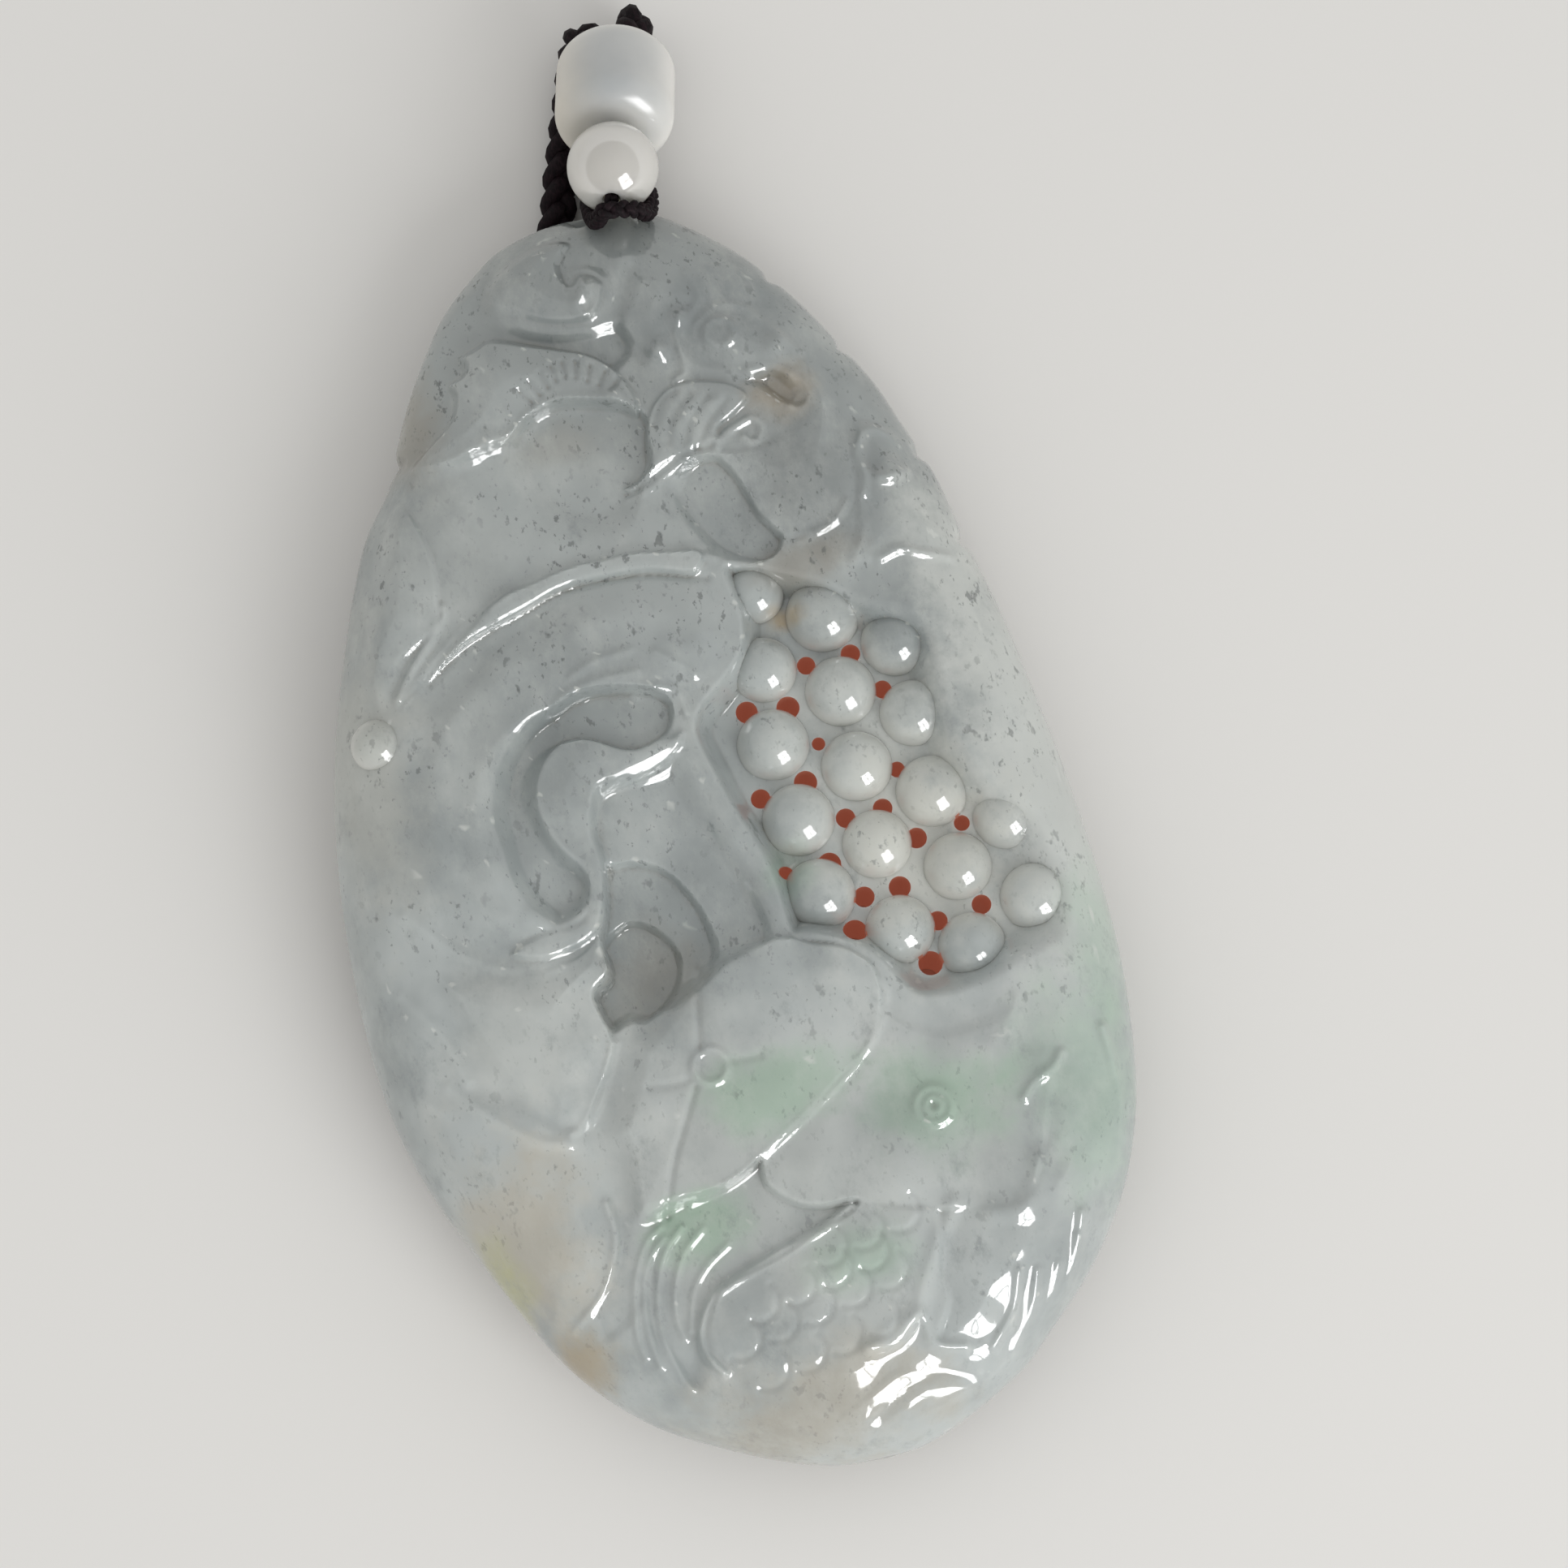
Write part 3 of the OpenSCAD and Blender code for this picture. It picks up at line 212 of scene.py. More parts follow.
# Ridges and grooves: name, height, half width, one or more lines
STROKES = [
    ("curl of the top lobe", 0.2, 0.36, [(-0.8, 37), (-0.4, 37.7), (0.6, 37.7), (1.4, 37), (1.5, 35.9),
     (0.9, 34.9), (0, 34.5), (-0.6, 35.2), (-0.2, 35.8)]),
    ("groove under the top lobe", -0.08, 0.43, [(-6.5, 36.7), (-4.9, 35.1), (-2.6, 34.2), (0.3, 33.9),
     (1.7, 32.8)]),
    ("lower edge of the tongue leaf", 0.27, 0.5, [(-13.9, 27.1), (-12.1, 26.6), (-9.5, 26.9),
     (-8.1, 27.3), (-6.8, 27.4), (-5.5, 28.4), (-3.9, 29.1), (-1.8, 29), (0.3, 28.4), (1.7, 27.3)]),
    ("curl leaf veins", -0.18, 0.3, [(2.6, 26.4), (3.4, 27.7), (4.4, 28.2)], [(3.2, 24.9), (4.1, 26.6),
     (5.4, 27.8)], [(4.2, 24.4), (5.1, 26.1), (6.5, 27.4)], [(5.1, 24.2), (6.2, 25.7), (7.6, 26.9)]),
    ("curl leaf tip", 0.2, 0.3, [(-0.2, 21.9), (1.5, 22.2), (2.8, 22.9), (4.2, 23.5)]),
    ("small curl", 0.3, 0.3, [(6.3, 23.9), (7, 24.6), (8.1, 25.1), (9, 25.3), (9.5, 24.7), (9.2, 23.9),
     (8.6, 23.7), (8.2, 24.1)]),
    ("edge over the hook hollow", 0.12, 0.36, [(3.8, 23.6), (5.4, 23.5), (6.5, 23.4), (7.3, 22.4),
     (7.6, 20.8), (7.8, 19.3), (8.5, 17.5)]),
    ("cloud line", 0.12, 0.3, [(7, 36.2), (7.5, 34.4), (6.5, 33.2), (5.5, 31.4), (6.1, 29.7),
     (8.3, 28.8)]),
    ("cloud line", 0.15, 0.3, [(6.9, 32.5), (8.3, 33.3), (10, 33.1), (11.6, 31.2), (13.1, 29.2)]),
    ("line beside the brown hollow", 0.35, 0.36, [(9.6, 28.5), (11, 28.3), (12, 27.5), (12.4, 26.4),
     (11.7, 25.6)]),
    ("right leaf arc", 0.2, 0.3, [(10.1, 16.4), (11.4, 16.7), (12.8, 17.3), (13.7, 18.2)]),
    ("right leaf side", 0.2, 0.36, [(15.8, 23.4), (15.5, 21.2), (14.9, 19.1), (14.4, 16.4),
     (13.3, 14.4)]),
    ("rim line", 0.35, 0.32, [(15, 14.1), (16.4, 14.4), (17.9, 13.9), (19.5, 13.5)]),
    ("edge of the rolled rim", 0.18, 0.32, [(-17.5, 11.9), (-16, 13), (-14.2, 14.4), (-12.3, 15.7),
     (-9.7, 16.9), (-7.5, 17.7), (-4.8, 18.1), (-2.7, 18.2), (-0.7, 18.2), (2.7, 17.4), (4.5, 16.7)]),
    ("groove inside the rolled rim", -0.18, 0.3, [(-15.4, 12.5), (-13.5, 13.9), (-11.6, 14.9),
     (-8.8, 15.8), (-6, 16.7), (-3.4, 16.9), (0, 16.6), (3.7, 15.4)]),
    ("big leaf ridge", 0.2, 0.32, [(-7.8, 9), (-6.8, 9.7), (-4.5, 10.1), (-2.2, 10.1)]),
    ("big leaf ridges", 0.17, 0.3, [(-6.2, 10.8), (-4.6, 11.4), (-2.3, 11.6)], [(-0.7, 11.1), (0.5, 10.1),
     (1.5, 9.2)]),
    ("big leaf ridge", 0.2, 0.3, [(-2.6, 8.9), (-0.8, 8.8), (0.2, 8.2), (0.4, 6.9)]),
    ("crease of the left lobe", 0.35, 0.3, [(-13.5, 17.3), (-13.8, 16.4), (-16.4, 13.6), (-17.7, 12)]),
    ("inner lip of the ribbon", 0.18, 0.32, [(-10.4, 3.4), (-10.1, 1.1), (-8.8, -1.2), (-8.4, -2.9),
     (-9.1, -4.4), (-10.7, -5)]),
    ("lip of the ribbon's hook", 0.26, 0.28, [(-5.9, 3.1), (-4.9, 3.6), (-3.6, 3.7), (-2.2, 4),
     (-1.1, 4.4), (-0.5, 5)]),
    ("edge of the long leaf", 0.24, 0.28, [(-11.6, -23), (-11.4, -25), (-12.1, -27), (-13.5, -28.9),
     (-15.5, -30.4)]),
    ("edge of the lower leaf", 0.28, 0.3, [(-8.8, -13.2), (-9.6, -14.7), (-10.5, -16.4), (-11.7, -17.8),
     (-12.7, -18.2)]),
    ("leaf fold", 0.25, 0.43, [(-19.8, -13.5), (-17.8, -15.8), (-15.1, -18.2), (-12.9, -18.8)]),
    ("leaf folds", 0.2, 0.43, [(-21.6, -7), (-19.7, -9.9), (-18.6, -13.4)], [(-20.2, -2), (-17.6, -5),
     (-14.8, -6.8), (-11.2, -7.3)]),
    ("pad veins", -0.22, 0.26, [(-2.5, -9.3), (-3.1, -11.9), (-3.6, -14.8)], [(-4.4, -17.1), (-5.8, -19.6),
     (-6.9, -21.7), (-8, -24.6)]),
    ("pad veins", -0.14, 0.3, [(-7.3, -16.4), (-6.1, -16.6), (-4.7, -16.6)], [(-1.9, -15.9), (-1, -16),
     (0, -16)]),
    ("edge of the pad", 0.2, 0.26, [(-2.7, -9.6), (0, -8.8), (3.9, -9), (6.5, -9.8), (8.1, -11.3),
     (8.8, -13.4), (8.5, -14.6), (7.9, -15.9), (6.8, -17.2), (4.8, -18.7), (2.5, -20.2), (0, -21.7),
     (-1.9, -22.8), (-3.8, -23.6), (-6.4, -24.2)]),
    ("fish head fin edge", 0.45, 0.75, [(12.4, -29.1), (14, -29.3), (15.3, -28.1), (16, -26.6)]),
    ("fish head lobe", 0.35, 0.32, [(15.9, -22.4), (16.7, -21.6), (18.1, -20.9), (18.9, -20.1)]),
    ("fish back", 0.6, 0.3, [(3.6, -26.6), (1.3, -27.6), (-1.6, -28.5), (-5, -29.6), (-6.4, -30.4),
     (-7.5, -32.2), (-7.5, -33.7), (-6.7, -35.1)]),
    ("tail lines", 0.2, 0.25, [(-8.6, -25.2), (-9.6, -25.9), (-10.6, -27.6), (-11.2, -29.6),
     (-11.5, -31.7), (-11.3, -33.1)], [(-8.5, -25.9), (-9.6, -26.9), (-10.4, -28.7), (-10.7, -31.3),
     (-10.5, -33.8)], [(-7.3, -25.5), (-8.7, -26.9), (-9.7, -29.4), (-9.9, -32.1), (-9.3, -34.6),
     (-8.9, -35.6)], [(-6, -25.9), (-7.5, -27.2), (-8.5, -29.2), (-8.8, -31), (-8.6, -32.4)]),
    ("belly ridge", 0.42, 0.58, [(9.9, -28), (8.1, -30.6), (7, -32.4), (6, -34.1), (4.3, -34.9),
     (2.8, -35.7)]),
    ("bottom ridge", 0.4, 0.43, [(2.5, -35.7), (4.4, -35.7), (6.3, -34.3), (6.7, -36.2), (8.6, -36.8)]),
    ("bottom groove", -0.4, 0.65, [(2.4, -39.9), (4.5, -38.6), (7.2, -38.2), (9.1, -39.1)]),
    ("line left of the strap", -0.25, 0.6, [(3.3, 37.2), (2.3, 35.2), (1.6, 33.8), (2.4, 31.8),
     (3.7, 30.6)]),
    ("right side of the strap", 0.25, 0.3, [(6.1, 33.4), (5.4, 32.1), (5.4, 31), (5.4, 29.4), (4.6, 29)]),
    ("rim curl", 0.3, 0.35, [(15, 18.6), (15.4, 19.8), (15.1, 21), (15.5, 22.3), (16.5, 23.1),
     (17.5, 22.6), (18.2, 21.7)]),
    ("fold in the rim lobe", 0.4, 0.4, [(16.2, 19.4), (17.1, 19.3), (18.2, 19.7)]),
    ("shortest tail line", 0.18, 0.25, [(-4.6, -27.2), (-6.3, -28.3), (-7.4, -29.7), (-8.1, -32)]),
    ("tail fin rays", 0.3, 0.28, [(10.4, -37.3), (12.1, -35.3), (13, -33)], [(11.7, -37.7), (13.3, -35.6),
     (14.2, -33.2)], [(13.4, -36.9), (14.8, -35.1), (15.7, -33.1)], [(14.9, -35.9), (16.4, -33.8),
     (17.3, -31.6)]),
    ("ridge along the rim", 0.5, 0.35, [(22, -19), (22.2, -22), (22, -24.2), (21.4, -26.5),
     (20.6, -28.5)]),
    ("lower ridge along the rim", 0.5, 0.35, [(17.9, -30.3), (17, -32.9), (15.3, -35.2), (12.9, -37.4),
     (10, -39.1)]),
]
# Small rounded humps: name, height, half width, place
HUMPS = [
    ("top lobe", 0.6, 0.75, (0.1, 36.3)),
    ("end of the strap", 0.8, 0.8, (3.9, 30.9)),
    ("spiral cloud", 0.6, 0.8, (11.7, 29.9)),
    ("small cloud", 0.5, 0.6, (5.7, 33.1)),
    ("end of the tongue leaf", 0.45, 0.75, (0.4, 28.6)),
    ("tip of the tongue leaf", 0.4, 0.7, (-9.7, 27.2)),
    ("lower edge of the tongue leaf", 0.35, 0.6, (-8.2, 27.6)),
    ("rim lobe", 0.45, 0.7, (17.1, 20.1)),
    ("right of the brown hollow", 0.35, 0.55, (12, 27.4)),
]
# A hump is a ridge as short as this
HUMP_LENGTH = 0.1
# Ridges in a ring: name, height, half width, centre, radius
RINGS = [
    ("small spiral", 0.2, 0.3, (8.2, 31.5), 0.95),
    ("rim ring", 0.15, 0.4, (16.8, 21.1), 1.7),
    ("pad centre", 0.24, 0.26, (-3.2, -16), 1.1),
    ("fish eye", 0.25, 0.3, (10.1, -21.6), 1.15),
    ("fish eye ball", 0.25, 0.3, (10.1, -21.6), 0.5),
]
# The fish's scales are rows of short arcs: radius, step from one to the next, angles at the ends,
# height, half width, and each row's first middle and number of scales
SCALE_R = 1.35
SCALE_STEP = (2.5, 0.55)
SCALE_ANGLES = (-120, 40)
SCALE_RISE = -0.13
SCALE_WIDTH = 0.25
SCALE_ROWS = [((-3.6, -31.2), 4), ((-5.2, -33.2), 5), ((-3.9, -35.4), 4), ((1.4, -28.7), 3)]

# The ticks along the tongue leaf's inner side start on a line through these points, at every second
# one of its steps, and fan out from a middle: steps, length, middle, height, half width
TICKS = [(-4.9, 29.6), (-2.4, 30.7), (0.4, 29.3)]
TICK_STEPS = 8
TICK_LENGTH = 1
TICK_MIDDLE = (-2.4, 26.5)
TICK_RISE = -0.2
TICK_WIDTH = 0.22

# The lattice's balls: across, along, radius
BALLS = [
    (6.5, 14.1, 2), (10.6, 11.7, 2.45), (14.8, 8.9, 2.25), (6, 9, 2.2), (10.6, 6.5, 2.35),
    (14.9, 4, 2.25), (5.5, 4, 2.4), (10.5, 1.4, 2.35), (14.9, -1.3, 2.4), (19.2, -4, 2.2), (6, -1.2, 2.4),
    (10.6, -3.9, 2.3), (15.4, -6.5, 2.25), (6.2, -6.3, 2.4), (10.8, -9.7, 2.3), (15.1, -11.8, 2.25),
    (19.8, -9.6, 2.3),
]
# The holes drilled between them: across, along, radius as a share of the common one
LATTICE_HOLES = [
    (8.8, 8.7, 0.75), (11.8, 8.8, 0.8), (4.3, 6.5, 0.9), (7, 6.2, 0.95), (13.3, 6, 0.75),
    (8.4, 3.4, 0.55), (7, 1.1, 0.95), (3.9, 0.7, 0.8), (13, 0.6, 0.65), (9, -1.8, 0.8), (11.5, -1.7, 0.8),
    (13.2, -4.1, 0.85), (7.3, -4.5, 0.95), (4.4, -4.5, 0.6), (9, -7.1, 0.85), (11.4, -7, 0.9),
    (7.9, -9.2, 1), (13.3, -9.7, 0.8), (12.2, -12.3, 1), (16.3, -9.3, 0.8), (16.3, -3.8, 0.65),
]

# The small loop, closed, and the carrying cord, from the barrel bead round and back into it
LOOP_ROUTE = [
    (3.1, 40.6, 12.3), (2.5, 40.7, 12), (2.3, 40.7, 11.3), (2.1, 40.7, 10.6), (1.9, 40.9, 9.7),
    (1.8, 41.3, 8.9), (1.7, 41.9, 8.2), (1.7, 42.6, 7.5), (1.7, 43.2, 6.8), (1.9, 43.1, 6.2),
    (2.2, 42.4, 6), (2.6, 41.4, 6), (3, 40.4, 6), (3.1, 39.6, 6), (3.3, 38.9, 6), (3.8, 38.6, 6),
    (4.3, 38.9, 6), (4.6, 39.6, 6), (4.6, 40.4, 6), (5.1, 41.4, 6), (5.5, 42.4, 6), (5.8, 43, 6.2),
    (5.9, 43.1, 6.8), (5.9, 42.6, 7.5), (5.8, 41.9, 8.1), (5.6, 41.2, 8.8), (5.4, 40.7, 9.7),
    (5.1, 40.5, 10.6), (4.8, 40.5, 11.4), (4.1, 40.5, 12.1),
]
CORD_ROUTE = [
    (4.4, 53.6, 5.45), (4.5, 54.5, 5), (4.2, 55.2, 4.4), (3.8, 55.5, 3.5), (3.5, 55.2, 2.5),
    (3.2, 54.5, 1.7), (2.8, 53.6, 1.35), (2.2, 51.8, 1.35), (1.2, 49, 1.35), (0.3, 46.4, 1.35),
    (-0.6, 43.6, 1.35), (-2, 41, 1.35), (-4.2, 38.6, 1.35), (-6.8, 36.2, 1.35), (-8.8, 33.2, 1.35),
    (-10.6, 29.8, 1.35), (-12.4, 26, 1.35), (-15, 22.1, 1.35), (-17, 17.6, 1.35), (-18.8, 12.4, 1.35),
    (-20.2, 7, 1.35), (-21, 1.4, 1.35), (-21.4, -4.4, 1.35), (-21.3, -10, 1.35), (-20.5, -15.4, 1.35),
    (-19, -20.2, 1.35), (-16.8, -24.8, 1.35), (-14.6, -28.8, 1.35), (-12.3, -32.3, 1.35),
    (-9, -35.2, 1.35), (-5.2, -37.4, 1.35), (-1, -38.8, 1.35), (3.4, -39.2, 1.35), (7.8, -38, 1.35),
    (11.7, -35.3, 1.35), (15.2, -31.9, 1.35), (18.2, -28, 1.35), (20.2, -23.5, 1.35), (21.1, -18.4, 1.35),
    (21.4, -13, 1.35), (21.2, -7.6, 1.35), (20.7, -2, 1.35), (20, 3.6, 1.35), (19.1, 9.2, 1.35),
    (18, 14.9, 1.35), (16.6, 20.4, 1.35), (14.8, 25.4, 1.35), (12.5, 29.9, 1.35), (10, 34, 1.35),
    (6.8, 37, 1.35), (4.2, 39.4, 1.35), (2.7, 41.8, 1.35), (2.7, 44.6, 1.35), (3.9, 47.4, 1.35),
    (5.4, 50, 1.35), (6.8, 52.2, 1.35), (7.4, 53.9, 1.4), (7.6, 55.2, 1.9), (7.7, 55.9, 2.9),
    (7.7, 55.8, 3.9), (7.5, 55, 4.6), (7.3, 54, 5), (7.15, 53, 5.45),
]

# How far in from its border a form is fully crowned, and how soft its border is at the middle, from
# 0 for crisp to 1 for soft
CROWN_WIDTH = 3.2
SOFT_START = 0.2
# A line's ridge is worked out up to this many half widths away
STROKE_REACH = 3
# How far in from the pendant's edge the carving has its full depth
CARVING_FADE = 3
# How much the back's bevel is hollowed, and how far in
BEVEL_HOLLOW = 1.2
HOLLOW_WIDTH = 2
# Slight waves that polishing by hand leaves: direction, length, height
POLISH_WAVES = [(20, 6.1, 0.045), (75, 4.7, 0.04), (130, 7.3, 0.05), (165, 3.1, 0.02), (50, 2.6, 0.015)]
# How far each wave starts after the one before, how much the waves bend, and how fast they do
WAVE_SHIFT = 1.7
WAVE_BEND = (1.3, 0.31, -0.23)

# How finely the pendant's skin is drawn, how much closer its rows and columns are at the edges, and
# the share of its faces that stays
ROWS = 620
COLUMNS = 350
BACK_COLUMNS = 14
CLOSER = 0.25
KEPT_SHARE = 0.38
# Steps between two corners of an outline or line, and points in a ring, a scale and the beads' sides
FORM_STEPS = 4
LINE_STEPS = 5
ROUTE_STEPS = 8
RING_POINTS = 24
SCALE_POINTS = 10
BEAD_POINTS = 40
CORNER_POINTS = 12
BELLY_POINTS = 14
# Where the drills of the lattice's holes start and end, along Z
DRILL_ENDS = (-1, 13)
# A face whose middle is this near to a ball or a hole's wall counts as part of it, and a face whose
# normal rises less than this counts as a wall
NEAR = 0.05
WALL_RISE = 0.3
# Edges with more than this angle between their faces look sharp, in degrees
PENDANT_SHARP = 40
BEAD_SHARP = 50
THREAD_SHARP = 80
# A direction that no rod runs along, and a squared length too small to divide by
ASKEW = (0.3, 0.1, 1)
TINY = 1e-12


def smooth(t):
    c = np.clip(t, 0, 1)
    return c * c * (3 - 2 * c)


def dome(t):
    return np.sqrt(np.maximum(0, 1 - (1 - np.clip(t, 0, 1)) ** 2))


def curve_through(corners, closed, steps):
    """A smooth line through the corners, with so many steps between each two."""
    p = np.array(corners, float)
    if closed:
        p = np.vstack([p[-1], p, p[0], p[1]])
    else:
        p = np.vstack([2 * p[0] - p[1], p, 2 * p[-1] - p[-2]])
    t = np.arange(steps)[:, None] / steps
    parts = [0.5 * (2 * b + (c - a) * t + (2 * a - 5 * b + 4 * c - d) * t**2
                    + (3 * b - a - 3 * c + d) * t**3)
             for a, b, c, d in zip(p[:-3], p[1:-2], p[2:-1], p[3:])]
    return np.vstack(parts if closed else [*parts, p[-2]])


def line_distance(points, line, closed):
    """The distance from each point to the nearest stretch of the line."""
    nearest = np.full(len(points), np.inf)
    ends = np.roll(line, -1, axis=0) if closed else line[1:]
    for a, b in zip(line, ends):
        ab = b - a
        t = np.clip(((points - a) @ ab) / max(ab @ ab, TINY), 0, 1)
        away = points - a - t[:, None] * ab
        nearest = np.minimum(nearest, np.einsum("ij,ij->i", away, away))
    return np.sqrt(nearest)


def inside(points, line):
    """Whether a ray to the right crosses the closed line an odd number of times."""
    odd = np.zeros(len(points), bool)
    for a, b in zip(line, np.roll(line, -1, axis=0)):
        spans = (a[1] > points[:, 1]) != (b[1] > points[:, 1])
        if spans.any():
            x = a[0] + (points[:, 1] - a[1]) * (b[0] - a[0]) / (b[1] - a[1])
            odd ^= spans & (points[:, 0] < x)
    return odd


def close_to(points, line, margin):
    low = line.min(axis=0) - margin
    high = line.max(axis=0) + margin
    return np.nonzero(((points > low) & (points < high)).all(axis=1))[0]


def lay_forms(points, height):
    """Lays each carved form over the ones before it."""
    for _, level, crown, crisp, soft, towards, corners in FORMS:
        shape = curve_through(corners, True, FORM_STEPS)
        near = close_to(points, shape, 0)
        near = near[inside(points[near], shape)]
        depth = line_distance(points[near], shape, True)
        angle = math.radians(towards)
        way = np.array([math.cos(angle), math.sin(angle)])
        middle = shape.mean(axis=0)
        reach = np.abs((shape - middle) @ way).max()
        side = smooth(SOFT_START + (1 - SOFT_START) * ((points[near] - middle) @ way) / reach)
        border = crisp + (soft - crisp) * side
        top = level + crown * smooth(depth / CROWN_WIDTH)
        share = smooth(depth / border)
        height[near] = height[near] * (1 - share) + top * share


def stroke(points, height, line, rise, half_width, closed=False):
    near = close_to(points, line, STROKE_REACH * half_width)
    away = line_distance(points[near], line, closed)
    height[near] += rise * np.exp(-((away / half_width) ** 2))


def on_circle(middle, radius, angles):
    return np.array(middle) + radius * np.column_stack([np.cos(angles), np.sin(angles)])


def scale_arcs():
    """The fish's scales as short arcs, open to the upper left."""
    angles = np.radians(np.linspace(*SCALE_ANGLES, SCALE_POINTS))
    across, along = SCALE_STEP
    return [on_circle((x + i * across, y + i * along), SCALE_R, angles)
            for (x, y), count in SCALE_ROWS for i in range(count)]


def tick_lines():
    """Short lines that fan out from a middle."""
    starts = curve_through(TICKS, False, TICK_STEPS)[::2]
    ways = starts - np.array(TICK_MIDDLE)
    ends = starts + TICK_LENGTH * ways / np.linalg.norm(ways, axis=1)[:, None]
    return np.stack([starts, ends], axis=1)


def lay_lines(points, height):
    for _, rise, half_width, *lines in STROKES:
        for corners in lines:
            stroke(points, height, curve_through(corners, False, LINE_STEPS), rise, half_width)
    angles = np.linspace(0, 2 * math.pi, RING_POINTS, endpoint=False)
    for _, rise, half_width, middle, radius in RINGS:
        stroke(points, height, on_circle(middle, radius, angles), rise, half_width, closed=True)
    for _, rise, half_width, (x, y) in HUMPS:
        stroke(points, height, np.array([[x, y], [x, y + HUMP_LENGTH]]), rise, half_width)
    for arc in scale_arcs():
        stroke(points, height, arc, SCALE_RISE, SCALE_WIDTH)
    for tick in tick_lines():
        stroke(points, height, tick, TICK_RISE, TICK_WIDTH)


def hand_polish(points):
    """The slight waviness that polishing by hand leaves."""
    x, y = points[:, 0], points[:, 1]
    bend, across, up = WAVE_BEND
    waves = np.zeros(len(points))
    for k, (turn, length, size) in enumerate(POLISH_WAVES):
        a = math.radians(turn)
        along = 2 * math.pi * (x * math.cos(a) + y * math.sin(a)) / length
        bends = bend * np.sin(across * x + up * y + k)
        waves += size * np.sin(along + WAVE_SHIFT * k + bends)
    return waves


def full_height(y):
    return THICKNESS - TOP_THINNING * smooth(y / TOP_Y)


def face_z(points, depth):
    height = np.zeros(len(points))
    lay_forms(points, height)
    lay_lines(points, height)
    height += hand_polish(points)
    full = full_height(points[:, 1])
    slab = RIM_HEIGHT + (full - RIM_HEIGHT) * dome(depth / SHOULDER_WIDTH)
    return slab + height * smooth(depth / CARVING_FADE)


def back_z(depth):
    t = np.clip(depth / HOLLOW_WIDTH, 0, 1)
    return np.maximum(0, RIM_HEIGHT * (1 - depth / BEVEL_WIDTH) - BEVEL_HOLLOW * t * (1 - t))


def closer_at_ends(t):
    return (1 - CLOSER) * t + CLOSER / 2 * (1 - np.cos(math.pi * t))


def outline_curve():
    right = [(row[2], row[0]) for row in OUTLINE_ROWS]
    left = [(row[1], row[0]) for row in reversed(OUTLINE_ROWS)]
    return curve_through(right + left, True, LINE_STEPS)


def edges_at(outline, ys):
    """The outline's left and right edge at each height."""
    top = outline[:, 1].argmax()
    ring = np.roll(outline, -top, axis=0)
    bottom = ring[:, 1].argmin()
    right = ring[: bottom + 1]
    left = np.vstack([ring[bottom:], ring[:1]])
    return (
        np.interp(ys, left[:, 1], left[:, 0]),
        np.interp(ys, right[::-1, 1], right[::-1, 0]),
        ring[0],
        ring[bottom],
    )


def cut_notches(points):
    for (x, y), way, depth, width in NOTCHES:
        way = np.array(way) / np.hypot(*way)
        away = np.hypot(points[:, 0] - x, points[:, 1] - y)
        points[:, :2] += depth * np.exp(-((away / width) ** 2))[:, None] * way


def add_object(name, data):
    obj = bpy.data.objects.new(name, data)
    bpy.context.scene.collection.objects.link(obj)
    return obj


def new_object(name, points, faces):
    mesh = bpy.data.meshes.new(name)
    mesh.from_pydata((np.asarray(points) * MM).tolist(), [], faces)
    mesh.validate()
    mesh.update()
    return add_object(name, mesh)


def ring_faces(rings, count, closed):
    """Faces between rings of points, round each ring, and from the last ring to the first if closed."""
    faces = []
    for j in range(rings if closed else rings - 1):
        a = j * count
        b = (j + 1) % rings * count
        for i in range(count):
            k = (i + 1) % count
            faces.append((a + i, b + i, b + k, a + k))
    return faces


def ring_fans(rings, count):
    """Faces from the first and the last ring to the two end points, which come after the rings."""
    end, last = rings * count, (rings - 1) * count
    faces = []
    for i in range(count):
        k = (i + 1) % count
        faces.append((end, i, k))
        faces.append((end + 1, last + k, last + i))
    return faces


def pendant_skin():
    outline = outline_curve()
    ys = outline[:, 1].max() - np.ptp(outline[:, 1]) * closer_at_ends(np.arange(1, ROWS) / ROWS)
    left, right, top, bottom = edges_at(outline, ys)
    front = closer_at_ends(np.arange(COLUMNS + 1) / COLUMNS)
    back = closer_at_ends(np.arange(BACK_COLUMNS - 1, 0, -1) / BACK_COLUMNS)
    shares = np.concatenate([front, back])
    xs = left[:, None] + (right - left)[:, None] * shares
    points = np.column_stack([xs.ravel(), np.repeat(ys, len(shares))])
    depth = line_distance(points, outline, True)
    on_face = np.tile(np.arange(len(shares)) <= COLUMNS, len(ys))
    z = back_z(depth)
    z[on_face] = face_z(points[on_face], depth[on_face])
    solid = np.column_stack([points, z])
    solid = np.vstack([solid, [*top, RIM_HEIGHT], [*bottom, RIM_HEIGHT]])
    cut_notches(solid)
    faces = ring_faces(len(ys), len(shares), False) + ring_fans(len(ys), len(shares))
    pendant = new_object("pendant_jade", solid, faces)
    thin_out(pendant)
    return pendant


def apply_modifiers(obj):
    graph = bpy.context.evaluated_depsgraph_get()
    obj.data = bpy.data.meshes.new_from_object(obj.evaluated_get(graph))
    obj.modifiers.clear()


def thin_out(obj):
    """Leaves fewer faces where the surface is plain."""
    modifier = obj.modifiers.new("thin out", "DECIMATE")
    modifier.ratio = KEPT_SHARE
    modifier.use_collapse_triangulate = True
    apply_modifiers(obj)


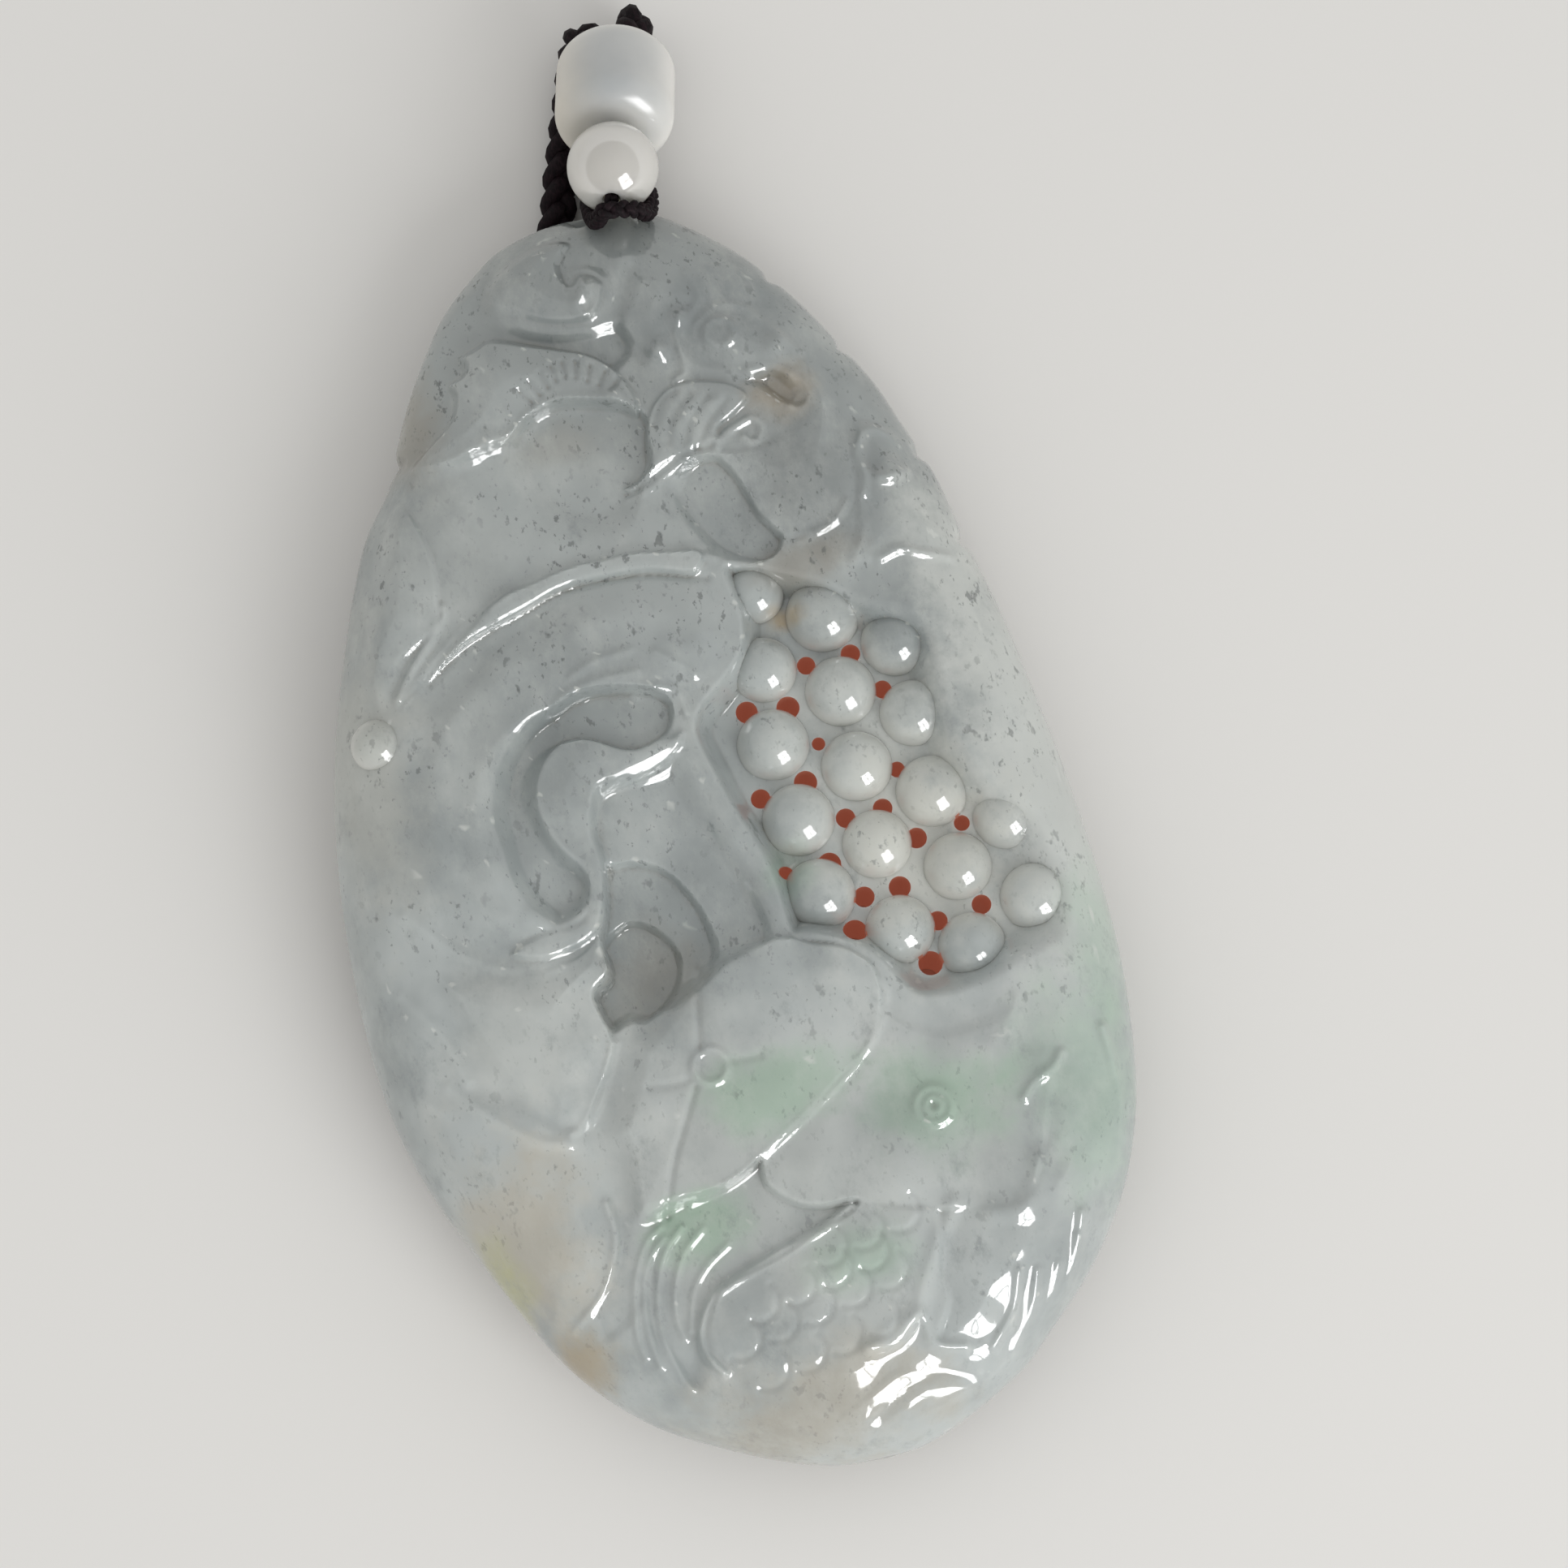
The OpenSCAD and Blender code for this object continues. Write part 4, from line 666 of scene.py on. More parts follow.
def ball(name, at, radius, around=40):
    """A closed ball, drawn in rings round the upright axis."""
    rings = around // 2
    points = []
    for j in range(1, rings):
        a = math.pi * j / rings
        for i in range(around):
            b = 2 * math.pi * i / around
            points.append([radius * math.sin(a) * math.cos(b), radius * math.sin(a) * math.sin(b),
                           radius * math.cos(a)])
    points += [[0, 0, radius], [0, 0, -radius]]
    faces = ring_faces(rings - 1, around, False) + ring_fans(rings - 1, around)
    return new_object(name, np.array(points) + at, faces)


def rod(name, start, finish, radius, around=28):
    """A closed round rod from one point to another."""
    start, finish = np.array(start, float), np.array(finish, float)
    along = (finish - start) / np.linalg.norm(finish - start)
    side = np.cross(along, ASKEW)
    side /= np.linalg.norm(side)
    up = np.cross(along, side)
    angles = np.linspace(0, 2 * math.pi, around, endpoint=False)
    circle = radius * (np.cos(angles)[:, None] * side + np.sin(angles)[:, None] * up)
    faces = [(i, (i + 1) % around, around + (i + 1) % around, around + i) for i in range(around)]
    faces.append(tuple(range(around - 1, -1, -1)))
    faces.append(tuple(range(around, 2 * around)))
    return new_object(name, np.vstack([start + circle, finish + circle]), faces)


def join(objects):
    with bpy.context.temp_override(
        active_object=objects[0], selected_editable_objects=objects, object=objects[0]
    ):
        bpy.ops.object.join()
    return objects[0]


def combine(obj, tools, operation):
    """Adds the tools to the object, or cuts them out of it."""
    for tool in tools:
        modifier = obj.modifiers.new("combine", "BOOLEAN")
        modifier.operation = operation
        modifier.solver = "MANIFOLD"
        modifier.object = tool
    apply_modifiers(obj)
    for tool in tools:
        bpy.data.objects.remove(tool)


def shade(obj, angle):
    mesh = obj.data
    mesh.polygons.foreach_set("use_smooth", [True] * len(mesh.polygons))
    mesh.set_sharp_from_angle(angle=math.radians(angle))
    mesh.update()


def ball_places():
    """The middle and radius of each ball of the lattice, and of the pearl on the left."""
    pearl_z = full_height(PEARL_AT[1]) - PEARL_R + PEARL_RISE
    return [((x, y, BALL_HEIGHT), radius) for x, y, radius in BALLS] + [((*PEARL_AT, pearl_z), PEARL_R)]


def build_pendant():
    pendant = pendant_skin()
    low, high = DRILL_ENDS
    holes = [rod("hole", (x, y, low), (x, y, high), share * LATTICE_HOLE_R)
             for x, y, share in LATTICE_HOLES]
    combine(pendant, [join(holes)], "DIFFERENCE")
    balls = [ball("ball", middle, radius) for middle, radius in ball_places()]
    combine(pendant, [join(balls)], "UNION")
    bores = [rod("bore", (x, y, BORE_HEIGHT), (*BORE_MEETING, BORE_HEIGHT), BORE_R) for x, y in BORE_MOUTHS]
    chamber = ball("chamber", (*BORE_MEETING, BORE_HEIGHT), CHAMBER_R)
    combine(pendant, [*bores, chamber], "DIFFERENCE")
    shade(pendant, PENDANT_SHARP)
    return pendant


def mark_faces(mesh):
    """Gives the balls' faces the second material and the walls of the lattice's holes the third."""
    count = len(mesh.polygons)
    middles, normals = np.empty(3 * count), np.empty(3 * count)
    mesh.polygons.foreach_get("center", middles)
    mesh.polygons.foreach_get("normal", normals)
    middles = middles.reshape(-1, 3) / MM
    upright = np.abs(normals.reshape(-1, 3)[:, 2]) < WALL_RISE
    kind = np.zeros(count, int)
    for middle, radius in ball_places():
        kind[np.abs(np.linalg.norm(middles - middle, axis=1) - radius) < NEAR] = 1
    for x, y, share in LATTICE_HOLES:
        away = np.hypot(middles[:, 0] - x, middles[:, 1] - y)
        kind[upright & (np.abs(away - share * LATTICE_HOLE_R) < NEAR)] = 2
    mesh.polygons.foreach_set("material_index", kind)
    mesh.update()


def on_bead_line(points):
    """Turns points with Z along the beads' line into the row's frame."""
    turn, tip = math.radians(BEAD_TURN), math.radians(-90 - BEAD_SLOPE)
    tipped = [[1, 0, 0], [0, math.cos(tip), -math.sin(tip)], [0, math.sin(tip), math.cos(tip)]]
    turned = [[math.cos(turn), -math.sin(turn), 0], [math.sin(turn), math.cos(turn), 0], [0, 0, 1]]
    return np.asarray(points) @ (np.array(turned) @ np.array(tipped)).T + ROUND_BEAD_AT


def lathe(name, section, around=72):
    """Turns a closed section, of radius and height, round the beads' line."""
    points = []
    for i in range(around):
        a = 2 * math.pi * i / around
        points += [(r * math.cos(a), r * math.sin(a), h) for r, h in section]
    obj = new_object(name, on_bead_line(points), ring_faces(around, len(section), True))
    shade(obj, BEAD_SHARP)
    return obj


def round_bead_section():
    start = math.asin(BEAD_BORE_R / ROUND_BEAD_R)
    angles = np.linspace(start, math.pi - start, BEAD_POINTS)
    return [(ROUND_BEAD_R * math.sin(a), ROUND_BEAD_R * math.cos(a)) for a in angles]


def barrel_section():
    """The barrel bead's side from far end to near end, and the rims of its bore."""
    corner = np.linspace(0, math.pi / 2, CORNER_POINTS)
    radii = BARREL_R - BARREL_ROUNDING + BARREL_ROUNDING * np.sin(corner)
    inset = BARREL_ROUNDING * (1 - np.cos(corner))
    belly = np.linspace(BARREL_END - BARREL_ROUNDING, BARREL_START + BARREL_ROUNDING, BELLY_POINTS)
    return [
        (BEAD_BORE_R, BARREL_END),
        *zip(radii, BARREL_END - inset),
        *((BARREL_R, height) for height in belly[1:-1]),
        *zip(radii[::-1], BARREL_START + inset[::-1]),
        (BEAD_BORE_R, BARREL_START),
    ]


def evenly(line, step, closed):
    """The same line, with its points the given distance apart."""
    if closed:
        line = np.vstack([line, line[:1]])
    lengths = np.concatenate([[0], np.cumsum(np.linalg.norm(np.diff(line, axis=0), axis=1))])
    at = np.linspace(0, lengths[-1], round(lengths[-1] / step) + 1)
    if closed:
        at = at[:-1]
    return np.column_stack([np.interp(at, lengths, line[:, k]) for k in range(3)]), lengths[-1]


def frames_along(line, closed):
    """Unit vectors beside and above the line, carried along it without twisting."""
    if closed:
        along = np.roll(line, -1, axis=0) - np.roll(line, 1, axis=0)
    else:
        along = np.gradient(line, axis=0)
    along /= np.linalg.norm(along, axis=1)[:, None]
    side = np.cross(along[0], [0, 0, 1])
    sides = []
    for direction in along:
        side = side - (side @ direction) * direction
        side /= np.linalg.norm(side)
        sides.append(side)
    sides = np.array(sides)
    return sides, np.cross(along, sides)


def tube(line, radius, closed, sides=8):
    """The points and faces of a round tube along a line."""
    side, up = frames_along(line, closed)
    angles = np.linspace(0, 2 * math.pi, sides, endpoint=False)
    beside = radius * np.cos(angles)[:, None] * side[:, None]
    above = radius * np.sin(angles)[:, None] * up[:, None]
    points = (line[:, None] + beside + above).reshape(-1, 3)
    faces = ring_faces(len(line), sides, closed)
    if not closed:
        faces.append(tuple(range(sides)))
        faces.append(tuple(range(len(points) - 1, len(points) - 1 - sides, -1)))
    return points, faces


def plait(name, route, closed, width, pitch, thickness, step):
    """Three strands plaited along a route."""
    line, length = evenly(curve_through(route, closed, ROUTE_STEPS), step, closed)
    side, up = frames_along(line, closed)
    turns = round(length / pitch)
    strand_r = STRAND_SHARE * width
    points, faces = [], []
    for k in range(3):
        phase = 2 * math.pi * (np.arange(len(line)) * turns / (len(line) - (not closed)) + k / 3)
        sway = (width / 2 - strand_r) * np.sin(phase)
        lift = (thickness * width / 2 - strand_r) * np.sin(2 * phase)
        strand = line + sway[:, None] * side + lift[:, None] * up
        strand_points, strand_faces = tube(strand, strand_r, closed)
        points.append(strand_points)
        faces += [tuple(i + k * len(strand_points) for i in face) for face in strand_faces]
    obj = new_object(name, np.vstack(points), faces)
    shade(obj, THREAD_SHARP)
    return obj, line, length


# Where the mix node's sockets for colours stand
MIX_SHARE, MIX_A, MIX_B, MIX_RESULT = 0, 6, 7, 2


def fill(tree, node, inputs):
    """Sets the node's inputs, by name or number, to plain values, or links them to sockets."""
    for key, value in inputs.items():
        if isinstance(value, bpy.types.NodeSocket):
            tree.links.new(value, node.inputs[key])
        else:
            node.inputs[key].default_value = value


def add(tree, kind, inputs, **settings):
    """Adds a shader node with these inputs and settings."""
    node = tree.nodes.new("ShaderNode" + kind)
    for name, value in settings.items():
        setattr(node, name, value)
    fill(tree, node, inputs)
    return node


def nodes_of(name):
    """A new material, its nodes, its shader and the place on the object."""
    material = bpy.data.materials.new(name)
    material.use_nodes = True
    tree = material.node_tree
    return material, tree, tree.nodes["Principled BSDF"], add(tree, "TexCoord", {}).outputs["Object"]


def noise(tree, where, scale, detail, roughness, stretch=1, turn=0):
    turned = (0, 0, math.radians(turn))
    place = add(tree, "Mapping", {"Vector": where, "Scale": (1, stretch, 1), "Rotation": turned})
    inputs = {"Vector": place.outputs["Vector"], "Scale": scale, "Detail": detail, "Roughness": roughness}
    return add(tree, "TexNoise", inputs).outputs["Fac"]


def from_to(tree, value, low, high, first=0, last=1):
    """Maps low..high onto first..last, softly and without going past them."""
    inputs = {"Value": value, "From Min": low, "From Max": high, "To Min": first, "To Max": last}
    return add(tree, "MapRange", inputs, interpolation_type="SMOOTHSTEP").outputs["Result"]


def calculate(tree, operation, a, b):
    return add(tree, "Math", {0: a, 1: b}, operation=operation).outputs["Value"]


def mix(tree, share, a, b):
    """Mixes two colours, each a socket or a plain colour."""
    a, b = [(*colour, 1) if isinstance(colour, tuple) else colour for colour in (a, b)]
    return add(tree, "Mix", {MIX_SHARE: share, MIX_A: a, MIX_B: b}, data_type="RGBA").outputs[MIX_RESULT]


def patch(tree, where, centre, size, ragged, strength):
    """A soft ragged patch round a place on the face, as a share from 0 to its strength."""
    middle = (centre[0] * MM, centre[1] * MM, 0)
    shift = add(tree, "VectorMath", {0: where, 1: middle}, operation="SUBTRACT")
    shrink = (1 / (size[0] * MM), 1 / (size[1] * MM), 0)
    squeeze = add(tree, "VectorMath", {0: shift.outputs["Vector"], 1: shrink}, operation="MULTIPLY")
    length = add(tree, "VectorMath", {0: squeeze.outputs["Vector"]}, operation="LENGTH").outputs["Value"]
    wobble = calculate(tree, "MULTIPLY", calculate(tree, "SUBTRACT", ragged, 0.5), PATCH_WOBBLE)
    return from_to(tree, calculate(tree, "ADD", length, wobble), *PATCH_EDGE, strength, 0)


# Colours of the jade and the beads
CLOUD_DARK = (0.295, 0.325, 0.325)
CLOUD_PALE = (0.465, 0.5, 0.495)
TOP_GREY = (0.265, 0.285, 0.28)
# Painted shade, laid into the creases
CREASE_SHADE = (0.25, 0.225, 0.18)
SMUDGE = (0.19, 0.215, 0.22)
SPECK = (0.06, 0.07, 0.07)
# Painted warm reflection on the beads' left side
WARM_REFLECTION_BEIGE = (0.66, 0.6, 0.49)
# Painted glow, laid on the sides of the balls
SIDE_GLOW_MILKY = (0.66, 0.655, 0.62)
GREEN = (0.24, 0.43, 0.27)
PALE_GREEN = (0.33, 0.49, 0.37)
AMBER = (0.4, 0.27, 0.1)
YELLOW_GREEN = (0.46, 0.47, 0.2)
BROWN = (0.3, 0.26, 0.2)
PALE = (0.62, 0.64, 0.61)
WARM_PALE = (0.56, 0.55, 0.49)
WARM_GREY = (0.46, 0.43, 0.36)

# Stained patches in the jade, and one painted warm reflection: place, size across and along, strength,
# colour
STAINS = [
    ((22, 0), (7, 26), 0.7, PALE),
    ((11.5, -1), (8.5, 14), 0.75, PALE),
    ((14, -5), (7, 9), 0.45, WARM_PALE),
    ((19, 14), (4, 8), 0.5, PALE),
    ((-13, 20), (7, 7), 0.2, PALE),
    ((-7, -28.5), (3.5, 4), 0.15, PALE),
    ((-3.5, 25.5), (4.5, 3), 0.2, PALE),
    ((-14, 8.5), (5, 9), 0.2, PALE),
    ((2, -33), (8, 4), 0.3, PALE),
    ((-1, -38.5), (11, 5), 0.6, WARM_GREY),
    ((-2, -39.5), (10, 4), 0.25, BROWN),
    ((0, -22), (26, 12), 0.4, PALE),
    ((-14, -12), (7, 6), 0.45, PALE),
    ((11.5, 20), (5.5, 7), 1, TOP_GREY),
    ((12, 19.5), (5, 5.5), 0.25, SMUDGE),
    ((8.5, 33), (6, 4.5), 0.6, SMUDGE),
    ((5.5, 19), (4, 4), 0.35, SMUDGE),
    # Painted warm reflection: a warm pale tint along the left edge
    ((-21, 8), (5, 14), 0.4, WARM_PALE),
    ((-17, -24), (6.5, 8), 0.8, WARM_GREY),
    ((0.5, -18.3), (6, 3.4), 0.45, GREEN),
    ((10.5, -21.5), (5.5, 4.5), 0.5, GREEN),
    ((20, -22), (6, 8.5), 0.42, PALE_GREEN),
    ((7.5, -22.5), (5, 4), 0.25, SMUDGE),
    ((-2, -1), (3, 5), 0.2, SMUDGE),
    ((23, -14), (3, 7), 0.35, PALE_GREEN),
    ((-6.5, -26), (4, 3), 0.5, GREEN),
    ((4, -30), (4.5, 3), 0.35, GREEN),
    ((4.5, -4.5), (2.2, 2.5), 0.35, PALE_GREEN),
    ((-19.6, -27.6), (2.6, 4.5), 0.6, YELLOW_GREEN),
    ((-15.6, -32.6), (3.6, 2.6), 0.5, AMBER),
    ((11.4, 26.8), (3, 2.2), 0.8, BROWN),
    ((8, 12), (1.6, 1.2), 0.6, AMBER),
    ((-13.5, 30.5), (3.4, 6), 0.5, BROWN),
    ((-4, 26.5), (4, 2), 0.2, BROWN),
    ((10, 15), (5, 2), 0.4, BROWN),
    ((-5.5, -9), (3.4, 4), 0.35, BROWN),
]
# How ragged a patch's edge is, and where it sets in and ends, as shares of its size
PATCH_WOBBLE = 1.6
PATCH_EDGE = (0.2, 1.1)

# Grains of noise: scale, detail, roughness, stretch, turn
RAGGED = (230, 5, 0.62)
POLISH_GRAIN = (900, 2, 0.5)
FIBRES = (4200, 3, 0.6, 0.4, 20)
# Layers of noise: each one's grain, the range of the noise over which it comes in, and its shares at
# both ends of that range where they aren't 0 and 1
LAYERS = {
    "clouds": ((80, 4, 0.55), (0.36, 0.66)),
    "bead clouds": ((160, 3, 0.5), (0.3, 0.7, 0, 0.25)),
    "wisps": ((300, 6, 0.7, 0.6, 25), (0.42, 0.8, 0, 0.34)),
    "smudges": ((420, 6, 0.72, 0.7, 50), (0.54, 0.78, 0, 0.45)),
    "specked places": ((170, 3, 0.55), (0.4, 0.62, 0.2, 1)),
    "coarse specks": ((850, 3, 0.6, 0.68, 35), (0.632, 0.712, 0, 0.6)),
    "middling specks": ((1400, 3, 0.6, 0.68, 150), (0.62, 0.7, 0, 0.6)),
    "fine specks": ((2400, 3, 0.6, 0.68, 90), (0.615, 0.695, 0, 0.6)),
}
# More ranges and shares: along the pendant in metres, for how far the surface bends, which sets the painted
# shade in creases and the painted highlights on ridges, and for how far it faces up, which sets the painted
# milky glow on the balls' sides
UPPER = (-0.01, 0.042, 0, 0.65)
LOWER = (-0.035, 0.02, 0.35, 1)
CREASE_SHADE_BEND = (0.43, 0.482, 0.35, 0)
# Painted highlight: ridges are paled by how far the surface bends
RIDGE_HIGHLIGHT_BEND = (0.575, 0.65, 0, 0.6)
SIDE_GLOW_FACING = (0.1, 0.9)
# Where the lattice's balls are, which get little painted crease shade between them
LATTICE_AT = (12, 1.5)
LATTICE_SIZE = (12, 17)
LATTICE_SHARE = 0.75

# The pendant's jade and its balls' jade: share of light that scatters inside, how far in mm, and how
# strongly the sides are painted milky pale, a painted glow
CLOUDY_JADE = (0.5, 0.7, 0)
MILKY_JADE = (0.85, 1.6, 0.6)
JADE_POLISH = {"Roughness": 0.09, "IOR": 1.8}
# The beads: painted shading, as a colour on top and one at the sides, the strength of a painted warm
# reflection on the left side, roughness, how far light scatters inside in mm, and the share of light that
# passes through
ROUND_BEAD = ((0.65, 0.635, 0.605), (0.57, 0.56, 0.53), 0.1, 0.07, 1.4, 0.18)
BARREL_BEAD = ((0.43, 0.45, 0.46), (0.76, 0.75, 0.72), 0.6, 0.25, 1.8, 0)
BEAD_IOR = 1.7
BEAD_SCATTER = 0.8
# Where across the beads the painted warm reflection on their left side ends, from full to none, in metres
BEAD_WARM_REFLECTION = (0, 0.005)
# How far red, green and blue light go inside a stone, as shares
SCATTER_COLOURS = (1, 1, 0.95)
# The thread's dark and pale fibres, and where in the noise they begin and end
THREAD_DARK = (0.004, 0.002, 0.003)
THREAD_PALE = (0.017, 0.008, 0.011)
FIBRE_ENDS = (0.35, 0.75)
THREAD_FINISH = {"Roughness": 0.65, "Specular IOR Level": 0.14}
# How bumpy the surfaces are: strength, and depth in mm
JADE_BUMPS = (0.12, 0.06)
THREAD_BUMPS = (0.6, 0.15)
# The walls of the lattice's holes: red-brown, with a painted glow (emission) that stands in for warm light
# coming through them
HOLE_WALL_GLOW = {"Base Color": (0.3, 0.15, 0.11, 1), "Roughness": 0.4,
             "Emission Color": (0.36, 0.1, 0.06, 1), "Emission Strength": 0.36}
FLOOR_PAINT = {"Base Color": (0.79, 0.78, 0.76, 1), "Roughness": 0.9}


def layer(tree, where, name):
    grain, ends = LAYERS[name]
    return from_to(tree, noise(tree, where, *grain), *ends)


def jade_colour(tree, where):
    """Clouds, stains, wisps, smudges and specks, with painted shade in creases and painted highlights on
    ridges.
    """
    along = add(tree, "SeparateXYZ", {"Vector": where}).outputs["Y"]
    colour = mix(tree, layer(tree, where, "clouds"), CLOUD_DARK, CLOUD_PALE)
    colour = mix(tree, from_to(tree, along, *UPPER), colour, TOP_GREY)
    ragged = noise(tree, where, *RAGGED)
    for centre, size, strength, stain in STAINS:
        colour = mix(tree, patch(tree, where, centre, size, ragged, strength), colour, stain)
    colour = mix(tree, layer(tree, where, "wisps"), colour, PALE)
    colour = mix(tree, layer(tree, where, "smudges"), colour, SMUDGE)
    lower = from_to(tree, along, *LOWER)
    bend = add(tree, "NewGeometry", {}).outputs["Pointiness"]
    lattice = patch(tree, where, LATTICE_AT, LATTICE_SIZE, ragged, LATTICE_SHARE)
    # Painted shade: creases, found by how far the surface bends, are darkened, less over the lattice and
    # towards the bottom
    crease = from_to(tree, bend, *CREASE_SHADE_BEND)
    crease = calculate(tree, "MULTIPLY", crease, calculate(tree, "SUBTRACT", 1, lattice))
    colour = mix(tree, calculate(tree, "MULTIPLY", crease, lower), colour, CREASE_SHADE)
    # Painted highlight: the ridges are paled
    colour = mix(tree, from_to(tree, bend, *RIDGE_HIGHLIGHT_BEND), colour, PALE)
    amount = calculate(tree, "MULTIPLY", layer(tree, where, "specked places"), lower)
    for size in ("coarse", "middling", "fine"):
        share = calculate(tree, "MULTIPLY", layer(tree, where, size + " specks"), amount)
        colour = mix(tree, share, colour, SPECK)
    return colour


def facing_up(tree):
    """How far the surface faces up, from -1 to 1."""
    normal = add(tree, "NewGeometry", {}).outputs["Normal"]
    return add(tree, "SeparateXYZ", {"Vector": normal}).outputs["Z"]


def scatter(tree, shader, weight, depth):
    """Lets light into the stone, this deep in mm."""
    fill(tree, shader, {"Subsurface Weight": weight, "Subsurface Radius": SCATTER_COLOURS,
                        "Subsurface Scale": depth * MM})


def roughen(tree, shader, height, strength, depth):
    bump = add(tree, "Bump", {"Strength": strength, "Distance": depth * MM, "Height": height})
    fill(tree, shader, {"Normal": bump.outputs["Normal"]})


def jade(name, weight, depth, side_glow_share):
    """Polished jade, with a painted milky glow on its sides if it has a share for them."""
    material, tree, shader, where = nodes_of(name)
    colour = jade_colour(tree, where)
    if side_glow_share:
        # Painted glow: the sides are paled to milky by how little they face up
        colour = mix(tree, from_to(tree, facing_up(tree), *SIDE_GLOW_FACING, side_glow_share, 0), colour, SIDE_GLOW_MILKY)
    fill(tree, shader, {"Base Color": colour, **JADE_POLISH})
    scatter(tree, shader, weight, depth)
    roughen(tree, shader, noise(tree, where, *POLISH_GRAIN), *JADE_BUMPS)
    return material


def plain(name, finish):
    """A material that is the same all over."""
    material, tree, shader, _ = nodes_of(name)
    fill(tree, shader, finish)
    return material


def milky(name, middle, rim, warm_reflection, roughness, depth, clear):
    """Milky translucent stone, with painted shading, one colour on top and one at the sides, and a painted
    warm reflection on the left.
    """
    material, tree, shader, where = nodes_of(name)
    # Painted shading: the colour goes from the top's to the sides' by how far the surface faces up
    sides = calculate(tree, "SUBTRACT", 1, facing_up(tree))
    share = calculate(tree, "ADD", sides, layer(tree, where, "bead clouds"))
    across = add(tree, "SeparateXYZ", {"Vector": where}).outputs["X"]
    # Painted warm reflection on the left side
    left = from_to(tree, across, *BEAD_WARM_REFLECTION, warm_reflection, 0)
    colour = mix(tree, left, mix(tree, share, middle, rim), WARM_REFLECTION_BEIGE)
    fill(tree, shader, {"Base Color": colour, "Roughness": roughness, "IOR": BEAD_IOR,
                        "Transmission Weight": clear})
    scatter(tree, shader, BEAD_SCATTER, depth)
    return material


def thread(name):
    material, tree, shader, where = nodes_of(name)
    fibres = noise(tree, where, *FIBRES)
    colour = mix(tree, from_to(tree, fibres, *FIBRE_ENDS), THREAD_DARK, THREAD_PALE)
    fill(tree, shader, {"Base Color": colour, **THREAD_FINISH})
    roughen(tree, shader, fibres, *THREAD_BUMPS)
    return material


def camera_axes():
    turn, tilt = math.radians(CAMERA_TURN), math.radians(CAMERA_TILT)
    along = Vector((math.sin(turn), math.cos(turn), 0))
    right = Vector((math.cos(turn), -math.sin(turn), 0))
    towards = Vector((0, 0, 1)) * math.cos(tilt) - along * math.sin(tilt)
    return right, towards.cross(right), towards


def place(name, data, at, axes):
    """Puts a camera or light at a place in mm, turned to its axes: right, up and backwards."""
    obj = add_object(name, data)
    obj.location = at * MM
    obj.rotation_euler = Matrix(axes).transposed().to_euler()
    return obj


def set_camera():
    axes = camera_axes()
    lens = bpy.data.cameras.new("camera")
    lens.sensor_width = SENSOR
    lens.lens = SENSOR * CAMERA_DISTANCE / CAMERA_FIELD
    lens.clip_start, lens.clip_end = CAMERA_CLIP
    at = Vector(CAMERA_TARGET) + axes[2] * CAMERA_DISTANCE
    bpy.context.scene.camera = place("camera", lens, at, axes)


# The window that the polish mirrors has two by two panes: its direction in the camera's axes
# (right, up, towards), its distance, and a pane's width, height, spacing and power. A soft lamp
# of its own in the same direction lights the stone.
WINDOW_WAY = (0.56, -0.6, 0.62)
WINDOW_DISTANCE = 450
PANE = (105, 145)
PANE_STEP = (118, 160)
PANE_POWER = 0.5
LAMP_DISTANCE = 700
LAMP_SIZE = 500
LAMP_POWER = 2.4
ROOM_LIGHT = 0.68
ROOM_COLOUR = (1, 0.995, 0.98, 1)


def add_light(name, middle, axes, size, power):
    light = bpy.data.lights.new(name, "AREA")
    light.shape = "RECTANGLE"
    light.size, light.size_y = size[0] * MM, size[1] * MM
    light.energy = power
    obj = place(name, light, middle, axes)
    return obj


